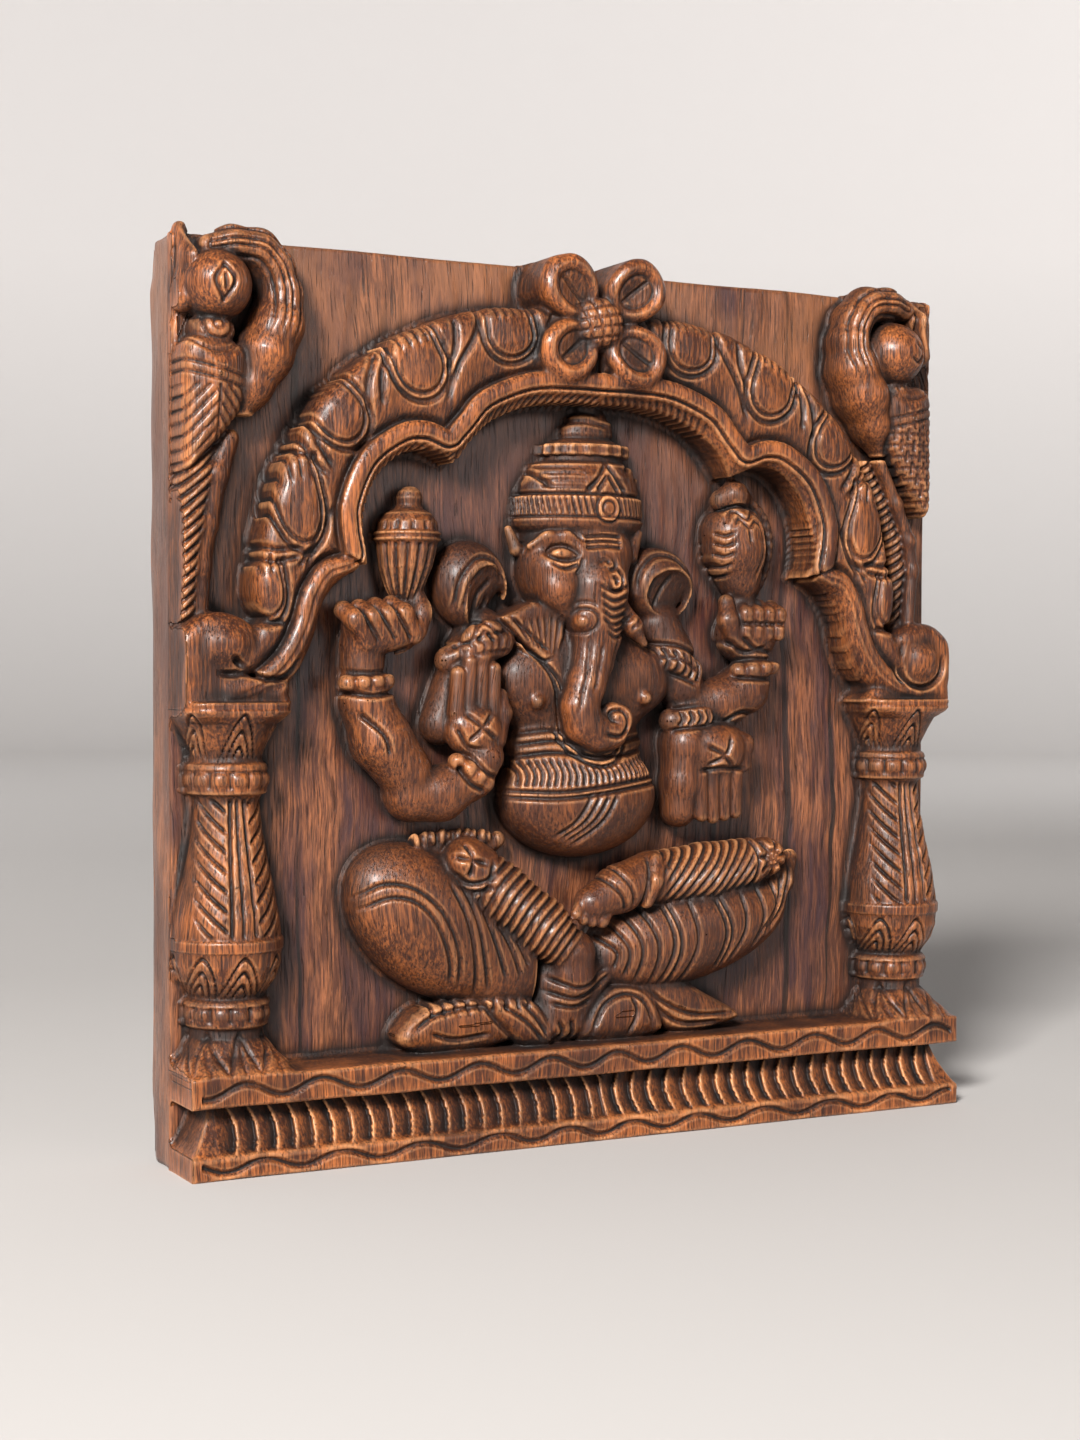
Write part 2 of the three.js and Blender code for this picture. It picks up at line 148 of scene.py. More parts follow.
class Block:
    """A box of the grid round one feature, with the shapes and cuts that a carver makes in it."""

    def __init__(self, low, high):
        low = np.maximum(low, GRID_LOW)
        high = np.minimum(high, GRID_HIGH)
        self.first = np.floor(low / VOXEL).astype(int)
        self.last = np.ceil(high / VOXEL).astype(int)
        x, y, z = (np.arange(a, b + 1, dtype=np.float32) * VOXEL for a, b in zip(self.first, self.last))
        self.x, self.y, self.z = x[:, None, None], y[None, :, None], z[None, None, :]
        self.size = (len(x), len(y), len(z))

    def ball(self, centre, radii, tilt=0.0):
        """An ellipsoid, turned clockwise by tilt degrees as the viewer sees it."""
        x, y, z = (q - c for q, c in zip((self.x, self.y, self.z), centre))
        c, s = math.cos(math.radians(tilt)), math.sin(math.radians(tilt))
        x, z = x * c - z * s, x * s + z * c
        rx, ry, rz = radii
        near = np.sqrt((x / rx) ** 2 + (y / ry) ** 2 + (z / rz) ** 2)
        steep = np.sqrt((x / rx ** 2) ** 2 + (y / ry ** 2) ** 2 + (z / rz ** 2) ** 2)
        return near * (near - 1) / np.maximum(steep, 1e-4)

    def limb(self, stations, flat=1.0, soft=2.0):
        """Round tapered rods end to end through [x, y, z, radius]; flat draws them out in depth."""
        rods = []
        for (ax, ay, az, ra), (bx, by, bz, rb) in zip(stations, stations[1:]):
            dx, dy, dz = bx - ax, by - ay, bz - az
            px, py, pz = self.x - ax, self.y - ay, self.z - az
            t = unit((px * dx + py * dy + pz * dz) / (dx * dx + dy * dy + dz * dz))
            away = np.sqrt((px - t * dx) ** 2 + ((py - t * dy) / flat) ** 2 + (pz - t * dz) ** 2)
            rods.append(away - (ra + (rb - ra) * t))
        return melt_all(rods, soft)

    def at_heights(self, table):
        """The columns that follow the height in a table, read off at the block's own heights."""
        height, *columns = np.array(table, float).T
        return [np.interp(self.z.ravel(), height, column)[None, None, :] for column in columns]

    def inside(self, outline, rounding=0):
        """Distance from a closed outline in the panel's plane, negative inside it."""
        if rounding:
            outline = smooth_path(outline + outline[:1], rounding)[:-1]
        p = np.array(outline, float)
        x, z = self.x[:, 0, :], self.z[:, 0, :]
        within_it = np.zeros(np.broadcast(x, z).shape, bool)
        near = np.full(within_it.shape, 1e9)
        for a, b in zip(p, np.roll(p, -1, 0)):
            e = b - a
            if not e.any():
                continue
            t = unit(((x - a[0]) * e[0] + (z - a[1]) * e[1]) / (e @ e))
            near = np.minimum(near, (x - a[0] - t * e[0]) ** 2 + (z - a[1] - t * e[1]) ** 2)
            if e[1]:
                crossing = (z >= min(a[1], b[1])) & (z < max(a[1], b[1]))
                within_it ^= crossing & (x < a[0] + (z - a[1]) * e[0] / e[1])
        return (np.sqrt(near) * np.where(within_it, -1, 1))[:, None, :]

    def slab(self, edge, face, round_over=2.5):
        """What lies inside a 2-D field and behind a face at depth face, with a rounded arris."""
        a, b = edge + round_over, face - self.y + round_over
        corner = np.hypot(np.maximum(a, 0), np.maximum(b, 0))
        return corner + np.minimum(np.maximum(a, b), 0) - round_over

    def trace(self, points, smooth=True):
        """Distance from a line in the panel's plane, and how far along it, from 0 to 1."""
        p = smooth_path(points) if smooth else np.array(points, float)
        x, z = self.x[:, 0, :], self.z[:, 0, :]
        steps = np.hypot(*np.diff(p, axis=0).T)
        run = np.concatenate([[0], np.cumsum(steps)]) / max(steps.sum(), 1e-6)
        near = np.full(np.broadcast(x, z).shape, 1e9)
        along = np.zeros_like(near)
        for a, b, ra, rb in zip(p, p[1:], run, run[1:]):
            e = b - a
            t = unit(((x - a[0]) * e[0] + (z - a[1]) * e[1]) / max(e @ e, 1e-9))
            d = (x - a[0] - t * e[0]) ** 2 + (z - a[1] - t * e[1]) ** 2
            closer = d < near
            near = np.where(closer, d, near)
            along = np.where(closer, ra + (rb - ra) * t, along)
        return np.sqrt(near)[:, None, :], along[:, None, :]

    def cut(self, lines, width=1.5, depth=1.0, ends=True):
        """V-shaped gouge cuts along lines in the panel's plane, each fading out towards its ends."""
        total = np.zeros((self.size[0], 1, self.size[2]), np.float32)
        for points in lines:
            p = smooth_path(points)
            lo = (p.min(0) - CUT_WIDTH * width - VOXEL) / VOXEL
            hi = (p.max(0) + CUT_WIDTH * width + VOXEL) / VOXEL
            i0, i1 = (int(np.clip(v - self.first[0], 0, self.size[0])) for v in (lo[0], hi[0] + 1))
            k0, k1 = (int(np.clip(v - self.first[2], 0, self.size[2])) for v in (lo[1], hi[1] + 1))
            if i1 <= i0 or k1 <= k0:
                continue
            part = Block.__new__(Block)
            part.x, part.z = self.x[i0:i1], self.z[:, :, k0:k1]
            near, along = part.trace(p, smooth=False)
            fade = unit(np.minimum(along, 1 - along) * 7 + 0.35) if ends else 1
            v = CUT_DEPTH * depth * unit(1 - near / (CUT_WIDTH * width)) * fade
            total[i0:i1, :, k0:k1] = np.maximum(total[i0:i1, :, k0:k1], v)
        return total


def between(start, end, count, bow=0.0):
    """Strokes from points along one line to points along another, each bowed to its left by bow."""
    a, b = smooth_path(start), smooth_path(end)
    strokes = []
    for t in np.linspace(0, 1, count):
        p = np.array([np.interp(t, np.linspace(0, 1, len(a)), a[:, i]) for i in (0, 1)])
        q = np.array([np.interp(t, np.linspace(0, 1, len(b)), b[:, i]) for i in (0, 1)])
        d = q - p
        middle = (p + q) / 2 + bow * np.array([-d[1], d[0]])
        strokes.append([p, middle, q])
    return strokes


def mirrored(lines, side):
    return [[(x * side, z) for x, z in line] for line in lines]


# ---- the features ----
# Each function gets its Block, g, and its side (-1 left, 1 right) if it has a twin, and returns its field
# over g. Places are x, y, z in millimetres, then a radius in a limb, and just x, z in the line of a cut.
SHAPES = {}  # for each CAD node: the function that sculpts it, and how far its block passes the node's box


def shape(name, margin=6.0):
    def keep(function):
        SHAPES[name] = (function, margin)
        return function
    return keep


def pair(stem, margin=6.0):
    """The same for a left and a right twin, which share one function."""
    def keep(function):
        for name, side in (("left", -1), ("right", 1)):
            SHAPES[f"{stem}_{name}"] = (lambda g, side=side: function(g, side), margin)
        return function
    return keep


# ---- the plinth ----
WAVE_LENGTH = 27.5
MOULDING_WAVES = {  # the height, swing and phase of each moulding's wavy line
    "plinth_upper_moulding": (28.6, 2.2, 3.0),
    "plinth_lower_moulding": (4.2, 1.8, -4.0),
}
FRIEZE_LEAN = 7.4                    # how much further back the top of the frieze is than its foot
RIB_PITCH, RIB_DEPTH = 6.9, 2.3


def moulding(node):
    low, high = (np.array(v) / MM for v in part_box(node))
    height, swing, phase = MOULDING_WAVES[node]

    def make(g):
        across = np.maximum(np.abs(g.x) - high[0], low[2] - g.z)
        edge = np.maximum(across, g.z - high[2]) + 0.15 * wander(g.x, g.z, 40, 3)
        field = g.slab(edge, FRONT + 0.2 * wander(g.x, g.z, 55, 5), 1.2)
        line = height + swing * np.sin(2 * math.pi * (g.x + phase + 1.5 * np.sin(g.x / 23)) / WAVE_LENGTH)
        return field + 1.4 * hump(g.z - line, 1.6) * (np.abs(g.x) < EDGE - 3)
    return make


for node in MOULDING_WAVES:
    shape(node, margin=2)(moulding(node))


@shape("plinth_frieze", margin=1.5)
def frieze(g):
    low, high = (np.array(v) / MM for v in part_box("plinth_frieze"))
    t = unit((g.z - low[2]) / (high[2] - low[2]))
    recess = 0.6 + FRIEZE_LEAN * t + 0.8 * np.sin(math.pi * t)
    across = np.abs(g.x) - (EDGE - recess)
    sway = np.sign(g.x) * (2.2 * np.sin(math.pi * t) - 1.5 * t) + 0.5 * np.sin(g.x / 9)
    rib = ((g.x + sway) / RIB_PITCH) % 1.0
    ribs = RIB_DEPTH * rib ** 1.8 * (np.abs(g.x) < EDGE - 10) * unit(t * 12)
    front = g.slab(across, FRONT + recess + ribs, 0.8)
    return np.maximum(front, np.maximum(low[2] - 1 - g.z, g.z - high[2] - 1))


# ---- the pillars ----
PILLAR_X, PILLAR_Y = 134.0, -2.0
SHAFT, BULB, CUP = (77, 123), (57, 72.5), (135.5, 151)  # from and to this height
COLLARS = (52.0, 128.6)              # their middles
SLOPE_CORRECTION = 0.88              # a turned profile's field is too steep where its radius changes fast
TURNINGS = [  # height, radius
    (33, 20), (35, 18.5), (39, 15), (44, 12.4), (47.2, 12), (48, 13.2), (49, 13.8), (49.8, 12.6),
    (54.2, 12.6), (55, 14.4), (56.3, 13.6), (57.2, 12.2), (59, 13.3), (63, 16.2), (68, 18), (72.4, 18.3),
    (73, 18.9), (76.2, 18.9), (77, 18.1), (84, 17.4), (92, 15.9), (102, 13.8), (112, 12.0), (121, 11.0),
    (123.4, 11.2), (124.2, 13.2), (125.4, 13.6), (126.2, 12.4), (131, 12.4), (131.8, 13.8), (133.4, 13.4),
    (134.6, 11.4), (138, 12.4), (144, 15.4), (148.6, 17.8), (149.6, 18.6), (151.2, 18.9),
    (151.8, 18.3), (156, 18.3),
]


def leaf_lines(u, v, width, height):
    """Nested pointed arches as grooves: u runs across a leaf from its middle and v up it from its foot."""
    total = 0
    for size in (1.0, 0.66, 0.34):
        crest = height * size * (1 - unit(np.abs(u) / (width * size)) ** 1.7)
        total = np.maximum(total, hump(v - crest, 1.0) * (np.abs(u) < width * size))
    return total


def leaf_ring(u, v, pitch, width, height):
    """The same leaf over and over round a pillar."""
    return leaf_lines(u - np.round(u / pitch) * pitch, v, width, height)


def shaft_grooves(g, u, side):
    """A tapering strip down the front and barbs on both sides of it."""
    strip = 2.4 + (122 - g.z) * 0.045
    lines = np.maximum(hump(np.abs(u) - strip, 1.0), 0.7 * hump(u + 0.3, 0.8))
    out = np.abs(u) - strip
    slope = g.z - 0.75 * out - 0.012 * out ** 2 + 1.3 * side * np.sign(u)
    barbs = stripes(slope / 6.4, 6.4, 1.35) * unit((out - 0.8) / 1.5) * unit((13.5 - out) / 3)
    return within(g.z, *SHAFT, 1.5) * np.maximum(1.4 * lines, 1.4 * barbs)


def collar_beads(g, u, middle):
    across = np.abs((u / 6.2 + 0.5) % 1.0 - 0.5) * 2
    up = unit(np.abs(g.z - middle) / 2.9)
    return 1.9 * np.sqrt(unit(1 - across ** 2)) * np.sqrt(1 - up ** 2)


def foot_leaves(g, u):
    """Folds that spread towards the bottom."""
    fold = np.abs((u / 11 + 0.5) % 1.0 - 0.5) * 11
    return unit((47 - g.z) / 2) * (0.9 * hump(fold - (46 - g.z) * 0.42, 1.2) + 0.5 * hump(fold, 1.0))


def pillar(g, side):
    """A whole pillar: round, but squarer towards its foot and its top."""
    dx, dy = g.x - side * PILLAR_X, (g.y - PILLAR_Y) / 1.05
    power = 2 + 3 * (unit((g.z - 147) / 6) + unit((44 - g.z) / 7))
    round_r = (np.abs(dx) ** power + np.abs(dy) ** power) ** (1 / power)
    r, = g.at_heights(TURNINGS)
    u = np.arctan2(dx, -dy) * r
    field = (round_r - r) * SLOPE_CORRECTION + shaft_grooves(g, u, side)
    field = field + 1.4 * within(g.z, *BULB, 1) * leaf_ring(u, g.z - 57.5, 14.5, 7.2, 13.5)
    for middle in COLLARS:
        field = field - collar_beads(g, u, middle)
    field = field + 1.5 * within(g.z, *CUP, 1) * leaf_ring(u, g.z - 134, 17, 6.5, 16)
    return field + foot_leaves(g, u) + 0.12 * wander(g.x, g.z + g.y, 11, 21)


PILLAR_PARTS = {  # from and to this height
    "foot": (STAND, 47.8), "shaft": (47.8, 123.5), "collar": (123.5, 134.6), "capital": (134.6, 154),
}


def pillar_part(part):
    low, high = PILLAR_PARTS[part]

    def make(g, side):
        return np.maximum(pillar(g, side), np.maximum(low - g.z, g.z - high))
    return make


for part in PILLAR_PARTS:
    pair(f"pillar_{part}", margin=4)(pillar_part(part))


# ---- the arch: outlines of its right half, from the top down; the left half mirrors them ----
ARCH_FACE = -17.5
FLANK_PULL = 0.04                    # how far the band's flanks are drawn in, as a share of x
SCROLL_BASE = 151.9                  # the scrolls stand on the capitals at this height
ARCH_OUT = [(0, 291), (30, 290), (52, 287), (72, 279), (92, 267.5), (108, 254), (118, 241), (126, 224),
            (130.5, 206), (131, 192), (127, 182)]
RIM_LOBES = [[(0, 268), (14, 268), (30, 266.5), (47, 259.5), (55, 251), (60, 245.5)],
             [(60, 245.5), (68, 248), (78, 246.5), (91, 237), (98, 222), (98.5, 212), (97, 203.5)],
             [(97, 203.5), (106, 200), (112, 191), (115.5, 180), (121, 170), (130, 163), (140, 160)]]
RIM_INNER = [[(0, 258.5), (14, 258.5), (28, 256.5), (42, 250.5), (50, 243.5), (55.5, 235.5)],
             [(55.5, 235.5), (65, 239.5), (76, 238), (85.5, 229), (90, 217), (90.5, 207), (88.5, 199.5)],
             [(88.5, 199.5), (97, 195), (103.5, 186), (107, 174), (113, 162.5), (124, 154), (140, 150)]]
ROUNDELS = [  # centre, half width, half height, turn in degrees
    ((36, 280), 11, 10, 8), ((70.5, 267.5), 11, 12.5, 22), ((99.5, 250), 10.5, 13.5, 38),
    ((113.5, 219), 9.6, 16, 14), ((124.5, 190.5), 7.2, 11, 8),
]
ARCH_LEAVES = [  # cuts between the roundels
    [(47, 287), (50, 278), (56, 268), (60, 256)], [(57, 284), (57, 275), (60, 266)],
    [(80, 274), (84, 264), (84, 253)], [(85.5, 270), (89, 261), (89, 250)],
    [(110, 249), (107, 240), (102, 232)], [(114, 243), (110, 236), (104, 229)],
    [(119, 239), (113, 236), (107, 235)], [(18, 290), (22, 280), (22, 270)],
    [(14, 290), (17, 280), (16, 271)], [(128, 206), (121, 204), (112, 205)],
    [(129, 202), (122, 200), (113, 202)], [(130, 186), (124, 181), (118, 180)],
    [(105, 214), (108, 206), (114, 198)], [(102, 218), (105, 209), (111, 199)],
]


def side_path(lobes, side):
    return [(x * side, z) for lobe in lobes for x, z in smooth_path(lobe, 4)]


def roundel(g, side, middle, wide, high, turn):
    """The grooves of an open-topped oval with a fan of strokes in it, and how far its middle swells."""
    c, s = math.cos(math.radians(turn)), math.sin(math.radians(turn))
    px, pz = g.x * side - middle[0], g.z - middle[1]
    a, b = px * c - pz * s, px * s + pz * c
    far = np.sqrt((a / wide) ** 2 + (np.minimum(b, 0) / high) ** 2) + np.maximum(b, 0) * 0.004
    size = (wide + high) / 2
    ring = np.maximum(1.2 * hump((far - 1) * size, 1.6), 0.9 * hump((far - 0.78) * size, 1.2))
    fan = 0.8 * stripes((a + 0.12 * b) / 3.4, 3.4, 0.9) * unit((b - high * 0.4) / 3)
    fan = fan * unit((0.78 - np.abs(a) / wide) * 5) * (b < high * 1.1)
    swell = unit(1 - far / 0.8) ** 0.6 * unit((high * 1.1 - b) / 4)
    return np.maximum(ring * unit((high * 1.05 - b) / 3), fan), swell


@pair("arch_band", margin=28)
def arch_band(g, side):
    outer = side_path([ARCH_OUT], side)
    flank = [min(max((275 - z) / 25, 0), max((z - 176) / 26, 0), 1) for _, z in outer]
    outer = [(x * (1 - FLANK_PULL * f), z) for (x, z), f in zip(outer, flank)]
    edge = g.inside(outer + side_path(RIM_LOBES, side)[::-1])
    rounding = 2.5 * unit(-edge / 13) ** 0.6
    field = g.slab(edge, ARCH_FACE + 2.6 - rounding, 4.5)
    grooves = 0
    for one in ROUNDELS:
        lines, swell = roundel(g, side, *one)
        grooves = np.maximum(grooves, lines)
        field = field - swell
    leaves = g.cut(mirrored(ARCH_LEAVES, side), 1.4, 1.0)
    return field + 1.3 * grooves + leaves + 0.2 * wander(g.x, g.z, 13, 8)


@pair("arch_rim", margin=14)
def arch_rim(g, side):
    outer, inner = side_path(RIM_LOBES[:2], side), side_path(RIM_INNER[:2], side)
    edge = g.inside(outer + inner[::-1])
    from_out, _ = g.trace(outer, smooth=False)
    _, along = g.trace(inner, smooth=False)
    bevel = np.clip(from_out - 5.8, 0, 5) * 1.05
    bead = 1.2 * np.sqrt(unit(1 - ((from_out - 2.6) / 2.8) ** 2))
    thin = 0.5 * np.sqrt(unit(1 - ((from_out - 6.6) / 0.9) ** 2))
    slant = 0.5 * from_out - 0.012 * from_out ** 2
    feather = stripes(along * 44 - slant, 3.2, 1.1) * unit((from_out - 6.4) / 1.5)
    if side > 0:
        feather = feather * np.maximum(np.clip(1.3 - np.abs(g.z - 210) / 10, 0.1, 0.8), 0.8 * (g.x < 45))
    face = ARCH_FACE - 0.2 - bead - thin + bevel
    return g.slab(edge - 0.5, face, 1.0) + 1.1 * feather + 1.2 * hump(from_out - 5.4, 0.9)


SCROLLS = {  # each side's outline, the middle and radii of its disc, and the cuts round the disc
    -1: ([(156, SCROLL_BASE), (156, 172), (151, 179), (144, 183), (135, 182.4), (127, 177), (125.6, 169),
          (129, 164.4), (123, 161), (117, 161.5), (116, 157), (119, SCROLL_BASE)],
         (-138.5, -8, 173), (12.4, 11.5, 10),
         [[(141, 163.5), (137, 163.2), (131.5, 163.6), (124.5, 161.6), (117.5, 163), (112, 169)],
          [(136.5, 168.5), (133, 165.6), (129.4, 163.8)]]),
    1: ([(150.5, SCROLL_BASE), (153.5, 159), (155, 168), (153.5, 176), (147.5, 181.4), (139, 182.8),
         (131, 180.4), (126.8, 174), (126, 167), (127, 160), (121, 159.5), (117, 157), (116, SCROLL_BASE)],
        (139.2, -10, 168.8), (9, 9.6, 9.4),
        [[(130.4, 174.4), (129, 168), (131.4, 161.4), (137, 158.6), (143.6, 159.6), (148, 164),
          (148.8, 170)],
         [(126.4, 178), (126, 170), (127.6, 163), (131.4, 159)]]),
}


@pair("arch_scroll", margin=14)
def arch_scroll(g, side):
    outer, inner = side_path(RIM_LOBES[2:], side), side_path(RIM_INNER[2:], side)
    edge = g.inside(outer + inner[::-1])
    from_out, along = g.trace(outer, smooth=False)
    leg = g.slab(edge, ARCH_FACE + np.clip(from_out - 5, 0, 6) * 0.9, 3.5)
    feather = stripes(along * 15 - from_out * 0.3, 3.4, 1.0) * unit((from_out - 6.4) / 2)
    grooves = hump(from_out - 4.6, 1.0) + (0.6 * feather if side > 0 else 0)
    leg = leg + 0.9 * grooves * unit((0.97 - along) * 9)
    outline, middle, radii, cuts = SCROLLS[side]
    block = g.slab(g.inside(mirrored([outline], side)[0], rounding=3), ARCH_FACE + 0.9, 5.0)
    block = np.maximum(block, SCROLL_BASE - g.z)
    field = melt(melt(block, g.ball(middle, radii), 1.4), leg, 2.0) + g.cut(mirrored(cuts, side), 1.3, 1.6)
    return field + 0.12 * wander(g.x, g.z, 10, 31)


# ---- the rosette ----
ROSETTE_X, ROSETTE_Z = -2.0, 286.0


@shape("rosette_centre", margin=3)
def rosette_centre(g):
    field = g.ball((ROSETTE_X, -14.6, ROSETTE_Z), (10.4, 8.6, 9.6))
    across = (g.x - ROSETTE_X) + 0.3 * (g.z - ROSETTE_Z)
    up = (g.z - ROSETTE_Z) - 0.2 * (g.x - ROSETTE_X)
    check = np.maximum(stripes(across / 4, 4, 0.8), stripes(up / 3.6, 3.6, 0.8))
    return field + 0.75 * check


PETALS = {"top_left": (135, 15.5), "top_right": (40, 18.0), "bottom_right": (-36, 17.5),
          "bottom_left": (-140, 14.5)}


def petal(name):
    degrees, reach = PETALS[name]
    a = math.radians(degrees)
    x, z = ROSETTE_X + reach * math.cos(a), ROSETTE_Z + reach * math.sin(a)

    def make(g):
        along = (g.x - x) * math.cos(a) + (g.z - z) * math.sin(a)
        across = -(g.x - x) * math.sin(a) + (g.z - z) * math.cos(a)
        wide = 10.6 + 0.10 * along
        far = np.sqrt((along / 13.0) ** 2 + (across / wide) ** 2)
        body = g.slab((far - 1) * 10.5, -22.2 + 0.02 * (along - 4) ** 2, 3.6)
        hollow = 3.2 * unit(1 - (far / 0.72) ** 2) + 1.2 * hump(across - 0.3, 1.1) * (np.abs(along) < 6)
        rolled = 0.8 * hump((far - 0.5) * 10.5, 0.8)
        return body + hollow + rolled + 0.15 * wander(g.x, g.z, 9, 12)
    return make


for name in PETALS:
    shape(f"rosette_petal_{name}", margin=4)(petal(name))


# ---- the birds, which differ: the left one stands further out and higher ----
HEADS = {  # the head's x, z and radius, how far the neck and corner leaf are moved, and the leaf's top
    -1: (139.6, 289.5, 11.8, 2.8, 0, 308.5),
    1: (129.4, 284.4, 12.3, -3.5, -5.5, 303.5),
}


@pair("bird_head", margin=7)
def bird_head(g, side):
    x, z, r, neck_shift, leaf_shift, leaf_top = HEADS[side]
    neck = [(139, 302), (131, 303.5), (122, 302.5), (116.5, 297), (114, 288), (115.5, 278), (120, 268),
            (124.5, 257), (128, 247)]
    radii = (4.5, 6.2, 6.8, 6.8, 7.2, 9, 9.6, 7, 2.6)
    neck = [((px + neck_shift) * side, pz) for px, pz in neck]
    band = g.limb([[px, -6.5, pz, r1] for (px, pz), r1 in zip(neck, radii)], flat=1.35)
    near, along = g.trace(neck)
    band = band + 0.8 * stripes((near + 0.6) / 3.4, 3.4, 0.8) * (near < 6) * unit((0.66 - along) * 8)
    skull = g.ball((x * side, -7.5, z), (r, 14.5, r))
    chin = g.ball(((x + 1) * side, -5, z - 15), (8, 10.5, 7))
    crescent = np.hypot(g.x - (x + 1) * side, (g.z - z + 13))
    chin = chin + 0.7 * stripes(crescent / 3.2, 3.2, 0.8)
    leaf = [(149.5, -1, leaf_top, 2.2), (147, -6, 298, 4.2), (149, -5, 285, 4.6)]
    leaf = g.limb([[(px + leaf_shift) * side, py, pz, r1] for px, py, pz, r1 in leaf], flat=1.6)
    vein = [(148.5 + leaf_shift, 308), (145.5 + leaf_shift, 297), (148 + leaf_shift, 284)]
    leaf = leaf + g.cut(mirrored([vein], side), 1.4, 1.2)
    if side < 0:
        flame = [[(x + 1, z + 5), (x - 2.2, z), (x + 1, z - 6)],
                 [(x + 1, z + 5), (x + 4.0, z), (x + 1, z - 6)], [(x + 1, z + 2), (x + 0.6, z - 3)]]
        flame = g.cut(mirrored(flame, side), 1.0, 0.9, ends=False)
    else:
        flame = g.cut([[(133, 288), (137, 285), (134, 281), (130, 283)]], 1.0, 0.7)
    face = melt(skull + flame, chin, 1.2)
    corner = g.slab(g.inside([(126 * side, 306.5), (153 * side, 306.5), (152.5 * side, 268),
                              (140 * side, 268)]), -3, 2)
    corner = corner + 0.5 * stripes((g.x * side + 0.4 * g.z) / 4.5, 4.5, 0.9)
    return np.minimum(melt(face, band, 1.2), np.minimum(leaf, corner))


@pair("bird_wing", margin=6)
def bird_wing(g, side):
    x = 141.5 if side < 0 else 134.5
    outline = [(x - 12, 262), (x - 10, 270), (x, 273), (x + 10, 270), (x + 11, 252), (x + 11, 233),
               (x + 8, 229), (x + 2, 235), (x - 5, 243), (x - 10, 251)]
    if side > 0:  # the right wing hangs lower
        outline = [(px, pz - max(0, 250 - pz) * 0.28) for px, pz in outline]
    limit = EDGE - 0.3 if side < 0 else EDGE - 5.5
    outline = [(min(px, limit) * side, pz) for px, pz in smooth_path(outline + outline[:1], 4)[:-1]]
    edge = g.inside(outline)
    dome = 6 * np.sqrt(unit(-edge / 11))
    field = g.slab(edge, -12 - dome, 3.0)
    u, v = (g.x * side - x), g.z
    collar = hump(v - 262 - 0.25 * u, 0.9) + hump(v - 258.5 - 0.25 * u, 0.9)
    collar = collar + 0.8 * hump(v - 267.5 - 0.05 * u * u, 0.9)
    if side < 0:  # herringbone
        column = np.abs(u + 0.5)
        stroke = stripes((v + 1.1 * column) / 4.3, 4.3, 1.0) * (v < 257) * (column > 0.8)
        middle = hump(column, 0.9) * (v < 257)
    else:  # brickwork
        row = np.floor(v / 4.2)
        stroke = stripes((u + (row % 2) * 2.4) / 4.8, 4.8, 0.9) * (v < 258)
        middle = 0.8 * stripes(v / 4.2, 4.2, 0.8) * (v < 258)
    return field + 0.85 * np.maximum(unit(collar), np.maximum(stroke, middle))


@pair("bird_tail", margin=8)
def bird_tail(g, side):
    """A smooth stem with a barbed vane beside it; out says on which side of the stem the vane is."""
    if side < 0:
        line, out = [(137.5, 240), (142.5, 228), (146, 212), (148, 198), (148, 184)], 1
        stem_radii, stem_depth, stem_shift = (4, 5, 5, 4.6, 4), -5.5, -2.5
        vane_radii, vane_shift = (3, 6, 6.6, 6.4, 5.4), 3.0
    else:
        line, out = [(122, 244), (129.5, 228), (135.4, 214), (137.2, 203), (135.6, 182)], -1
        stem_radii, stem_depth, stem_shift = (2.4, 2.8, 3, 2.8, 2.6), -9, -1.0
        vane_radii, vane_shift = (2, 3.4, 3.8, 3.6, 3), 3.4

    def strand(shift, depth, radii):
        return g.limb([[(x + shift * out) * side, depth, z, r] for (x, z), r in zip(line, radii)], flat=1.5)

    middle, = g.at_heights([(z, x) for x, z in line[::-1]])
    off = (g.x * side - middle) * out
    barbs = stripes((g.z + 0.9 * g.x * side * out) / 3.7, 3.7, 1.2) * unit(off + 0.6)
    vane = strand(vane_shift, -5, vane_radii) + 1.2 * barbs
    return melt(strand(stem_shift, stem_depth, stem_radii), vane, 0.8)


# ---- the seated figure ----
CROWN_TURNINGS = [  # height, middle, half width
    (213, -2.4, 22), (215.4, -2.4, 24.6), (217.2, -2.2, 25.4), (225.6, -2.2, 24.8), (226.4, -2.2, 23),
    (228, -2, 23.2), (233, -1.6, 22.4), (237, -0.8, 19.4), (238.6, 0, 15.2), (240, 0.2, 15.4),
    (240.8, 0.4, 16.6), (244.4, 0.6, 16.4), (245.4, 0.8, 13), (246.8, 1, 9.6), (248.5, 1.2, 10.2),
    (252.5, 1.6, 9.4), (253.4, 1.7, 8.2), (256.5, 2, 6), (259, 2.4, 3.4), (261, 2.8, 0.8), (262, 3, -3),
]


